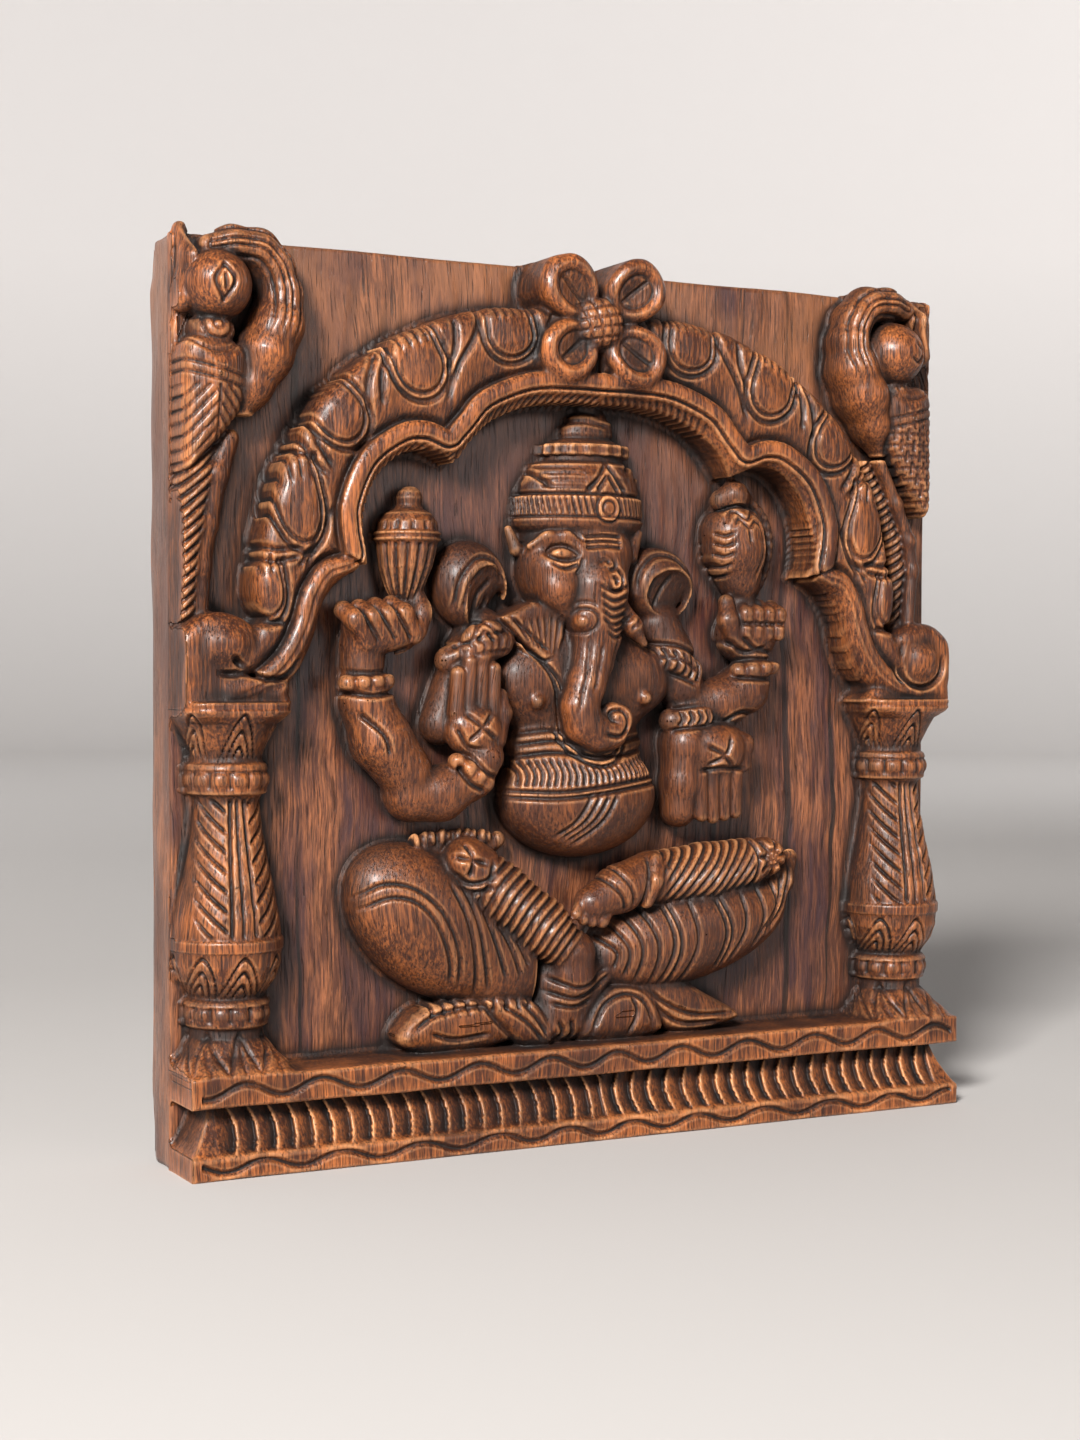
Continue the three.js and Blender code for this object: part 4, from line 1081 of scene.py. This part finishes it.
def sculpt(whole):
    """Every feature's field, and at each grid point the lowest two fields and whose the lowest is."""
    lowest = np.full(whole.size, FAR, np.float32)
    second = np.full(whole.size, FAR, np.float32)
    owner = np.full(whole.size, -1, np.int16)
    fields = {}
    for i, (name, (function, margin)) in enumerate(SHAPES.items()):
        low, high = (np.array(v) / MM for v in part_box(name))
        g = Block(low - margin, high + margin)
        field = np.broadcast_to(function(g), g.size).astype(np.float32)
        part = tuple(slice(a - w, b - w + 1) for a, b, w in zip(g.first, g.last, whole.first))
        wins = field < lowest[part]
        second[part] = np.where(wins, lowest[part], np.minimum(second[part], field))
        lowest[part] = np.where(wins, field, lowest[part])
        owner[part][wins] = i
        fields[name] = (i, g, part, field)
    return fields, lowest, second, owner


def blurred(field, reaches):
    for reach in reaches:
        field = box_blur(field, round(reach / VOXEL))
    return field


def box_blur(field, reach):
    """A running mean over 2 * reach + 1 grid steps each way."""
    for axis in range(3):
        width = [(reach + 1, reach) if a == axis else (0, 0) for a in range(3)]
        total = np.cumsum(np.pad(field, width, mode="edge"), axis=axis, dtype=np.float64)
        n = field.shape[axis]
        span = 2 * reach + 1
        upper = np.take(total, np.arange(span, span + n), axis=axis)
        lower = np.take(total, np.arange(0, n), axis=axis)
        field = ((upper - lower) / span).astype(np.float32)
    return field


def skin(field):
    """A closed mesh round a field's negative part: one vertex in every cube that the surface crosses."""
    f = np.pad(field, 1, constant_values=1.0)
    inside = f < 0
    flat = f.ravel()
    step = (f.shape[1] * f.shape[2], f.shape[2], 1)
    cubes, points, flips = [], [], []
    for axis in range(3):
        near = tuple(slice(None, -1) if a == axis else slice(None) for a in range(3))
        far = tuple(slice(1, None) if a == axis else slice(None) for a in range(3))
        where = np.array(np.nonzero(inside[near] != inside[far]))
        p = where[0] * step[0] + where[1] * step[1] + where[2]
        a, b = flat[p], flat[p + step[axis]]
        at = where.astype(float)
        at[axis] += a / (a - b)
        one, two = step[(axis + 1) % 3], step[(axis + 2) % 3]
        cubes.append(np.array([p, p - one, p - one - two, p - two]).T)
        points.append(np.repeat(at.T[:, None, :], 4, 1))
        flips.append(a > 0)
    cubes, points, flips = np.concatenate(cubes), np.concatenate(points), np.concatenate(flips)
    cubes[flips] = cubes[flips][:, ::-1]
    _, vertex = np.unique(cubes, return_inverse=True)
    vertex = vertex.ravel()
    count = np.bincount(vertex)
    spots = points.reshape(-1, 3)
    centres = np.array([np.bincount(vertex, spots[:, a]) / count for a in range(3)]).T
    return centres - 1, vertex.reshape(-1, 4)


def sample(field, at):
    """The field's value between grid points, at places given in grid steps."""
    at = np.clip(at, 0, np.array(field.shape) - 1.001)
    base = at.astype(int)
    t = at - base
    total = 0
    for corner in range(8):
        o = np.array([(corner >> a) & 1 for a in range(3)])
        weight = np.prod(np.where(o, t, 1 - t), axis=1)
        i, j, k = (base + o).T
        total = total + weight * field[i, j, k]
    return total


def mesh_object(name, points, quads, **attributes):
    """A smooth-shaded mesh object from vertices in millimetres."""
    mesh = bpy.data.meshes.new(name)
    mesh.vertices.add(len(points))
    mesh.vertices.foreach_set("co", (points * MM).astype(np.float32).ravel())
    mesh.loops.add(quads.size)
    mesh.loops.foreach_set("vertex_index", quads.astype(np.int32).ravel())
    mesh.polygons.add(len(quads))
    mesh.polygons.foreach_set("loop_start", np.arange(0, quads.size, quads.shape[1], dtype=np.int32))
    mesh.update(calc_edges=True)
    mesh.shade_smooth()
    for key, value in attributes.items():
        layer = mesh.attributes.new(key, "FLOAT", "POINT")
        layer.data.foreach_set("value", value.astype(np.float32))
    obj = bpy.data.objects.new(name, mesh)
    bpy.context.scene.collection.objects.link(obj)
    return obj


def carve():
    """One closed piece for each carved CAD node, with its hollows and edges as vertex attributes."""
    whole = Block(GRID_LOW, GRID_HIGH)
    fields, lowest, second, owner = sculpt(whole)
    figure = melt(lowest, second, FILLET)
    beyond = np.maximum(np.abs(whole.x) - EDGE, np.maximum(-whole.z, whole.z - BOARD_TOP))
    board = np.maximum(ground(whole.x, whole.z).astype(np.float32) - whole.y, beyond)
    surface = np.maximum(melt(figure, board, GROUND_FILLET), np.abs(whole.x) - EDGE)
    edges = blurred(np.clip(surface, -2, 2), EDGE_BLURS)
    hollows = blurred((surface < 0).astype(np.float32), HOLLOW_BLURS)
    bottom = whole.y - (GROUND + EMBED)
    pieces = []
    for name, (i, g, part, field) in fields.items():
        rival = np.where(owner[part] == i, second[part], lowest[part])
        lead = field - rival
        own = surface[part] + SINK * np.maximum(0, lead)
        own = np.maximum(own, np.maximum(lead - OVERLAP, figure[part] - GROUND_FILLET))
        own = np.maximum(own, np.maximum(bottom[:, part[1], :], np.abs(g.x) - EDGE))
        points, quads = skin(own)
        at = points + [s.start for s in part]
        obj = mesh_object(name, (points + g.first) * VOXEL, quads, edge=sample(edges, at),
                          hollow=sample(hollows, at))
        pieces.append(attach(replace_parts(obj, name), "root"))
    return pieces, whole, edges, hollows


# ---- the board behind the carving ----
RIM = 1.2                            # radius of the board's worn edges
SPACING = 1.1 if VOXEL < 1 else 2.2  # of the places on its front
SIDE_EDGE, SIDE_HOLLOW = 0.1, 0.5    # what the attributes edge and hollow say on its sides
POCKET = (11.0, 249.5, 274.5, 12.7)  # width, bottom, top and depth position of the hollow behind the hanger
PLATE = (16.6, 239.7, 284.3, 20.6)   # and of the shallow recess that takes its plate
HOLE_RADIUS = 1.9                    # of the screws' holes
PAST = 3.0                           # how far a cutter runs past the board's back


def board_outline(x_low, x_high, z_low, z_high, spacing):
    """The front's grid of places, and its rim in order with the outward direction at each place."""
    xs = np.linspace(x_low, x_high, int((x_high - x_low) / spacing) + 1)
    zs = np.linspace(z_low, z_high, int((z_high - z_low) / spacing) + 1)
    nx, nz = len(xs), len(zs)
    index = np.arange(nx * nz).reshape(nx, nz)
    rim = np.concatenate([index[:, 0], index[-1, 1:], index[-2::-1, -1], index[0, -2:0:-1]])
    x, z = (a.ravel() for a in np.meshgrid(xs, zs, indexing="ij"))
    outward = np.array([(x[rim] == x_high) * 1.0 - (x[rim] == x_low),
                        (z[rim] == z_high) * 1.0 - (z[rim] == z_low)])
    return x, z, index, rim, outward / np.hypot(*outward)


def side_wear(x, y, z):
    """How much the sawn sides have lost: a little everywhere, more along the left back edge."""
    wear = 0.25 + 0.25 * wander(x + z, y * 4, 60, 51)
    back = unit((y - 14) / 8) ** 2
    wear = wear + back * (x < -EDGE + 4) * (1.0 + 0.7 * wander(z, y, 45, 52))
    corner = unit(1 - np.hypot(x + EDGE, z) / 22) + unit(1 - np.hypot(x + EDGE, z - BOARD_TOP) / 16)
    return np.clip(wear + 3.0 * back * corner, 0, 5)


def rim_steps():
    """How far out and how far back each ring round the board is: a round arris, the side, another arris."""
    thick = BACK - GROUND
    steps = [(RIM * math.sin(a), RIM * (1 - math.cos(a))) for a in np.radians([25, 50, 75])]
    steps += [(RIM, depth) for depth in np.linspace(RIM, thick - RIM, 9)]
    steps += [(RIM * math.cos(a), thick - RIM * (1 - math.sin(a))) for a in np.radians([25, 50, 75, 90])]
    return steps


def back_board(whole, edges, hollows):
    limits = (-EDGE + RIM, EDGE - RIM, RIM, BOARD_TOP - RIM)
    x, z, index, rim, outward = board_outline(*limits, SPACING)
    front = np.array([x, ground(x, z), z]).T
    corners = [index[:-1, :-1], index[1:, :-1], index[1:, 1:], index[:-1, 1:]]
    rings, quads = [], [np.array(corners).reshape(4, -1).T]
    last, start, n = rim, len(front), len(rim)
    for out, depth in rim_steps():
        px, pz = x[rim] + out * outward[0], z[rim] + out * outward[1]
        share = depth / (BACK - GROUND)
        py = np.maximum(front[rim, 1] * (1 - share) + BACK * share, GROUND)
        wear = side_wear(px, py, pz) * min(1, out / RIM + 0.3)
        rings.append(np.array([px - wear * outward[0], py, pz - wear * outward[1]]).T)
        now = start + np.arange(n)
        quads.append(np.array([last, now, np.roll(now, -1), np.roll(last, -1)]).T)
        last, start = now, start + n
    points = np.concatenate([front] + rings)
    at = front / VOXEL - whole.first
    sides = np.ones(len(points) - len(front))
    edge = np.concatenate([sample(edges, at), sides * SIDE_EDGE])
    hollow = np.concatenate([sample(hollows, at), sides * SIDE_HOLLOW])
    sawn = np.concatenate([np.zeros(len(front)), sides])
    obj = mesh_object("board", points, np.concatenate(quads), edge=edge, hollow=hollow, sawn=sawn)
    close_back(obj, last)
    for cutter in hanger_cutters():
        subtract(obj, cutter)
    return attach(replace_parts(obj, "back_board"), "root")


def close_back(obj, loop):
    """Fills the flat back with one face."""
    bm = bmesh.new()
    bm.from_mesh(obj.data)
    bm.verts.ensure_lookup_table()
    face = bm.faces.new([bm.verts[i] for i in loop[::-1]])
    face.smooth = False
    bmesh.ops.recalc_face_normals(bm, faces=bm.faces)
    bm.to_mesh(obj.data)
    bm.free()


def cuboid(name, low, high):
    bm = bmesh.new()
    bmesh.ops.create_cube(bm, size=1)
    low, high = Vector(low) * MM, Vector(high) * MM
    for v in bm.verts:
        v.co = Vector(((low + high) / 2 + Vector(a * b for a, b in zip(v.co, high - low))))
    return from_bmesh(name, bm)


def rod(name, x, z, y_low, y_high, radius):
    """A cylinder along Y."""
    bm = bmesh.new()
    bmesh.ops.create_cone(bm, cap_ends=True, segments=32, radius1=radius * MM, radius2=radius * MM,
                          depth=(y_high - y_low) * MM)
    middle = Matrix.Translation(Vector((x, (y_low + y_high) / 2, z)) * MM)
    bmesh.ops.transform(bm, matrix=middle @ Matrix.Rotation(math.pi / 2, 4, "X"), verts=bm.verts)
    return from_bmesh(name, bm)


def from_bmesh(name, bm):
    mesh = bpy.data.meshes.new(name)
    bm.to_mesh(mesh)
    bm.free()
    obj = bpy.data.objects.new(name, mesh)
    bpy.context.scene.collection.objects.link(obj)
    return obj


def hanger_cutters():
    for wide, low, high, deep in (POCKET, PLATE):
        yield cuboid("hollow", (-wide / 2, deep, low), (wide / 2, BACK + PAST, high))
    for node in ("hanger_screw_lower", "hanger_screw_upper"):
        low, high = (Vector(v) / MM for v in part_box(node))
        middle = (low + high) / 2
        yield rod("hole", middle.x, middle.z, low.y - 0.3, BACK + PAST, HOLE_RADIUS)


def subtract(obj, cutter):
    """Cuts one shape out of another for good."""
    cut = obj.modifiers.new("cut", "BOOLEAN")
    cut.operation, cut.solver, cut.object = "DIFFERENCE", "EXACT", cutter
    bpy.context.view_layer.update()
    mesh = bpy.data.meshes.new_from_object(obj.evaluated_get(bpy.context.evaluated_depsgraph_get()))
    obj.modifiers.clear()
    obj.data = mesh
    bpy.data.objects.remove(cutter)


# ---- materials ----
def linear(r, g, b):
    """A colour named by its screen values, 0 to 255."""
    return tuple(((c / 255 + 0.055) / 1.055) ** 2.4 if c > 10 else c / 3294.6 for c in (r, g, b)) + (1.0,)


class Finish:
    """A material and short ways to add nodes to it."""

    def __init__(self, name):
        self.material = bpy.data.materials.new(name)
        self.material.use_nodes = True
        self.tree = self.material.node_tree
        self.shader = self.tree.nodes["Principled BSDF"]
        self.place = self.add("ShaderNodeTexCoord").outputs["Object"]

    def add(self, kind, inputs=None, **settings):
        node = self.tree.nodes.new(kind)
        for key, value in settings.items():
            setattr(node, key, value)
        for key, value in (inputs or {}).items():
            self.join(value, node.inputs[key])
        return node

    def join(self, value, socket):
        if isinstance(value, bpy.types.NodeSocket):
            self.tree.links.new(value, socket)
        else:
            socket.default_value = value

    def set(self, **inputs):
        for key, value in inputs.items():
            self.join(value, self.shader.inputs[key.replace("_", " ")])

    def scaled(self, where, x, y, z):
        return self.add("ShaderNodeMapping", {"Vector": where, "Scale": (x, y, z)}).outputs[0]

    def noise(self, where, scale, detail=3.0, rough=0.55):
        keys = {"Vector": where, "Scale": scale, "Detail": detail, "Roughness": rough}
        return self.add("ShaderNodeTexNoise", keys).outputs[0]

    def math(self, operation, a, b=0.5, c=0.5):
        return self.add("ShaderNodeMath", {0: a, 1: b, 2: c}, operation=operation).outputs[0]

    def span(self, value, low, high, to_low=0.0, to_high=1.0):
        """value brought from low..high to another range, without going past its ends."""
        keys = {"Value": value, "From Min": low, "From Max": high, "To Min": to_low, "To Max": to_high}
        return self.add("ShaderNodeMapRange", keys).outputs[0]

    def attribute(self, name):
        return self.add("ShaderNodeAttribute", attribute_name=name).outputs["Fac"]

    def mix(self, factor, a, b):
        node = self.add("ShaderNodeMix", data_type="RGBA")
        for value, socket in ((factor, node.inputs[0]), (a, node.inputs[6]), (b, node.inputs[7])):
            self.join(value, socket)
        return node.outputs[2]

    def bump(self, height, distance, strength=1.0, normal=None):
        keys = {"Height": height, "Distance": distance, "Strength": strength}
        if normal is not None:
            keys["Normal"] = normal
        return self.add("ShaderNodeBump", keys).outputs[0]


GRAIN = 0.07                         # how much finer the grain is across than along
GRAIN_SWAY = 0.006                   # how far it wanders sideways, in metres
DARK = linear(22, 12, 9)
BROWN = linear(70, 35, 20)
ORANGE = linear(171, 98, 50)
DULL_BROWN = linear(78, 44, 30)
DULL_ORANGE = linear(153, 94, 60)
# pale wood of worn arrises, also used as a painted highlight on them
WORN_SHEEN = linear(212, 148, 98)
PURPLE = linear(52, 30, 33)
GREYED = linear(124, 80, 51)


class Wood(Finish):
    """Oiled hardwood with upright grain, dark wax with painted shade laid over it in its hollows, and pale
    worn arrises with a painted highlight on them.
    """

    def __init__(self, name, dark, light):
        super().__init__(name)
        sway = self.span(self.noise(self.place, 14, 2), 0, 1, -GRAIN_SWAY, GRAIN_SWAY)
        offset = self.add("ShaderNodeCombineXYZ", {"X": sway}).outputs[0]
        self.along = self.add("ShaderNodeVectorMath", {0: self.place, 1: offset},
                              operation="ADD").outputs[0]
        self.x, self.depth, self.height = self.add("ShaderNodeSeparateXYZ", {0: self.place}).outputs
        bands = self.drawn_out(GRAIN, 90, 3, 0.5)
        self.streaks = self.drawn_out(GRAIN, 520, 5, 0.65)
        self.fibre = self.drawn_out(GRAIN, 1150, 5, 0.7)
        self.pores = self.span(self.drawn_out(GRAIN / 2, 2000, 2), 0.60, 0.68)
        self.blotch = self.noise(self.place, 24, 4, 0.6)
        tone = self.math("MULTIPLY_ADD", bands, 0.6, self.math("MULTIPLY", self.streaks, 0.8))
        tone = self.math("MULTIPLY_ADD", self.fibre, 1.6, self.math("MULTIPLY_ADD", self.blotch, 0.7, tone))
        self.body = self.mix(self.span(tone, 1.72, 2.10), dark, light)
        self.glaze(DARK, self.span(self.streaks, 0.53, 0.60), self.span(self.blotch, 0.3, 0.6, 0.25, 0.6))

    def drawn_out(self, squash, scale, detail, rough=0.55):
        """Noise that is 1 / squash times as long up the grain as across it."""
        return self.noise(self.scaled(self.along, 1, 1, squash), scale, detail, rough)

    def glaze(self, colour, amount, share=1.0):
        """Lays a colour over what is there."""
        self.body = self.mix(self.math("MULTIPLY", amount, share), self.body, colour)

    def from_middle(self, height, squash=1.0):
        """Distance in metres from a point on the panel's upright middle line, seen from the front."""
        up = self.math("MULTIPLY", self.math("SUBTRACT", self.height, height), squash)
        return self.math("SQRT", self.math("ADD", self.math("POWER", self.x, 2.0),
                                           self.math("POWER", up, 2.0)))

    def stain_board(self):
        """Purple-brown stain in long patches, purple-brown painted shade under the arch behind the figure,
        splits, and a greyer top and sides.
        """
        stain = self.drawn_out(0.22, 34, 4, 0.65)
        self.glaze(PURPLE, self.span(stain, 0.48, 0.58), self.span(self.streaks, 0.35, 0.6, 0.5, 0.95))
        self.glaze(DARK, self.span(self.drawn_out(0.014, 210, 2, 0.4), 0.66, 0.70, 0, 0.85))
        # painted shade: purple-brown darkening of the ground under the arch, round the figure
        arch_shade = self.span(self.from_middle(0.19), 0.115, 0.06, 0, 0.75)
        self.glaze(PURPLE, arch_shade, self.span(self.blotch, 0.3, 0.6, 0.5, 1))
        self.glaze(GREYED, self.span(self.height, 0.20, 0.29, 0, 0.6), self.span(self.blotch, 0.35, 0.6))
        self.glaze(GREYED, self.attribute("sawn"), 0.25)

    def sunk_shade(self):
        """How deep in the relief a place is, apart from the panel's sides, given as an amount of painted
        shade that darkens the deeper places.
        """
        on_side = self.span(self.math("ABSOLUTE", self.x), 0.1495, 0.1515, 1.0, 0.1)
        return self.math("MULTIPLY", self.span(self.depth, -0.021, -0.008, 0.0, 0.74), on_side)

    def finish(self, open_air, packed, sunk_shade):
        """Dark wax and painted shade as the attribute hollow goes from open_air to packed, in grooves and
        deep in the relief, then worn arrises with a painted highlight, then the gloss.
        """
        hollow = self.span(self.attribute("hollow"), open_air, packed, 0, 0.95)
        groove = self.span(self.attribute("edge"), -0.02, -0.28)
        smudge = self.span(self.noise(self.place, 70, 3), 0.3, 0.7, 0.75, 1.1)
        # dark wax together with painted shade: darker where a place is shut in, in a groove, or deep in the
        # relief
        wax_and_shade = self.math("MAXIMUM", self.math("MAXIMUM", hollow, sunk_shade), groove)
        wax_and_shade = self.math("MINIMUM", self.math("MULTIPLY", wax_and_shade, smudge), 1.0)
        self.glaze(DARK, wax_and_shade)
        # worn arrises lightened: partly real wear, partly a painted highlight on the convex edges
        wear = self.math("MULTIPLY", self.span(self.attribute("edge"), 0.10, 0.55),
                         self.span(self.blotch, 0.35, 0.62, 0.35, 0.9))
        self.glaze(WORN_SHEEN, wear, self.span(self.streaks, 0.35, 0.6, 0.5, 1.0))
        self.glaze(DARK, self.pores, 0.6)
        rough = self.math("MULTIPLY_ADD", wax_and_shade, 0.28, self.span(self.streaks, 0.3, 0.7, 0.24, 0.42))
        rough = self.math("MULTIPLY_ADD", self.pores, 0.12, rough)
        relief = self.math("SUBTRACT", self.math("MULTIPLY", self.fibre, 0.7), self.pores)
        tooled = self.bump(self.noise(self.place, 210, 3, 0.5), 0.0006, 0.4)
        self.set(Base_Color=self.body, Roughness=rough, IOR=1.47, Specular_IOR_Level=0.4)
        self.set(Normal=self.bump(relief, 0.00030, 1.0, tooled))
        self.set(Coat_Weight=self.span(wax_and_shade, 0.1, 0.7, 0.22, 0), Coat_Roughness=0.2)
        return self.material


def carved_wood():
    wood = Wood("carved wood", BROWN, ORANGE)
    # painted shade: the figure's middle under the arch is glazed browner, as if in the arch's shadow
    wood.glaze(BROWN, wood.span(wood.from_middle(0.14, 0.75), 0.096, 0.070, 0, 0.5))
    return wood.finish(0.36, 0.58, wood.sunk_shade())


def board_wood():
    wood = Wood("board wood", DULL_BROWN, DULL_ORANGE)
    wood.stain_board()
    return wood.finish(0.50, 0.63, 0.0)


def steel():
    f = Finish("brushed steel")
    brushed = f.noise(f.scaled(f.place, 1, 1, 0.03), 3000, 2)
    dull = f.noise(f.place, 120, 3)
    f.set(Base_Color=f.mix(f.span(dull, 0.4, 0.7), linear(176, 172, 166), linear(140, 134, 126)),
          Metallic=1.0)
    f.set(Roughness=f.span(brushed, 0.2, 0.8, 0.28, 0.5), Normal=f.bump(brushed, 0.00004, 0.6))
    return f.material


# ---- putting it together ----
carving, whole, edges, hollows = carve()
board = back_board(whole, edges, hollows)
carving_finish = carved_wood()
for piece in carving:
    piece.data.materials.append(carving_finish)
board.data.materials.clear()
board.data.materials.append(board_wood())

bright_steel = steel()
for node in ("keyhole_hanger", "hanger_screw_lower", "hanger_screw_upper"):
    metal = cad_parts[node]
    metal.data.materials.clear()
    metal.data.materials.append(bright_steel)


# ---- the studio ----
CAMERA_AT = Vector((-0.3908, -0.7177, 0.1647))
CAMERA_TURN = (27.582, -1.247, 0.129)  # degrees: to the right of +Y, up, and rolled
LENS, SENSOR = 57.09, 36.0           # millimetres
FLOOR_GREY, WALL_GREY = linear(180, 177, 175), linear(212, 208, 206)


def camera():
    lens = bpy.data.cameras.new("camera")
    lens.lens, lens.sensor_width = LENS, SENSOR
    lens.clip_start, lens.clip_end = 0.01, 50
    obj = bpy.data.objects.new("camera", lens)
    turn, up, roll = (math.radians(a) for a in CAMERA_TURN)
    aim = Matrix.Rotation(-turn, 4, "Z") @ Matrix.Rotation(math.pi / 2 + up, 4, "X")
    aim = aim @ Matrix.Rotation(roll, 4, "Z")
    obj.matrix_world = Matrix.Translation(CAMERA_AT) @ aim
    bpy.context.scene.collection.objects.link(obj)
    bpy.context.scene.camera = obj


def studio_sweep():
    """A pale floor that curves up into a wall all round, out of the light's way."""
    bm = bmesh.new()
    radius, bend, high = 5.0, 1.2, 4.0
    profile = [(0.01, 0), (radius - bend, 0)]
    curve = np.linspace(0.1, math.pi / 2, 12)
    profile += [(radius - bend + bend * math.sin(a), bend * (1 - math.cos(a))) for a in curve]
    profile += [(radius, high)]
    verts = [bm.verts.new((r, 0, h)) for r, h in profile]
    edges_in = [bm.edges.new(pair_of) for pair_of in zip(verts, verts[1:])]
    bmesh.ops.spin(bm, geom=verts + edges_in, axis=(0, 0, 1), cent=(0, 0, 0), steps=72, angle=2 * math.pi,
                   use_duplicate=False)
    bmesh.ops.remove_doubles(bm, verts=bm.verts, dist=1e-5)
    for face in bm.faces:
        face.smooth = True
    obj = from_bmesh("sweep", bm)
    paper = Finish("pale paper")
    height = paper.add("ShaderNodeSeparateXYZ", {0: paper.place}).outputs[2]
    colour = paper.mix(paper.span(height, 0, bend), FLOOR_GREY, WALL_GREY)
    paper.set(Base_Color=colour, Roughness=0.9)
    obj.data.materials.append(paper.material)
    obj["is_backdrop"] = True


def lamp(name, at, to, width, height, watts, colour=(1, 1, 1)):
    light = bpy.data.lights.new(name, "AREA")
    light.shape, light.size, light.size_y = "RECTANGLE", width, height
    light.energy, light.color = watts, colour
    obj = bpy.data.objects.new(name, light)
    obj.location = at
    obj.rotation_euler = (Vector(to) - Vector(at)).to_track_quat("-Z", "Y").to_euler()
    bpy.context.scene.collection.objects.link(obj)


camera()
studio_sweep()
CENTRE = (0, 0, 0.15)
lamp("window", (-1.5, -1.5, 1.3), CENTRE, 0.55, 0.55, 136, (1, 0.975, 0.945))
lamp("front", (0.9, -2.4, 0.7), CENTRE, 1.2, 1.2, 9)
lamp("backdrop left", (-2.2, 0.8, 2.2), (-2.0, 5.0, 1.8), 2.0, 2.0, 132)
lamp("backdrop right", (2.4, 0.8, 2.2), (3.6, 4.4, 1.8), 2.0, 2.0, 66)
world = bpy.data.worlds.new("studio air")
world.use_nodes = True
air = world.node_tree.nodes["Background"]
air.inputs["Color"].default_value = (1, 0.985, 0.97, 1)
air.inputs["Strength"].default_value = 0.165
bpy.context.scene.world = world
bpy.context.scene.view_settings.view_transform = "Standard"

visual_low, visual_high = [tuple(v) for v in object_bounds()]
{"cad": [list(cad_low), list(cad_high)], "visual": [list(visual_low), list(visual_high)]}
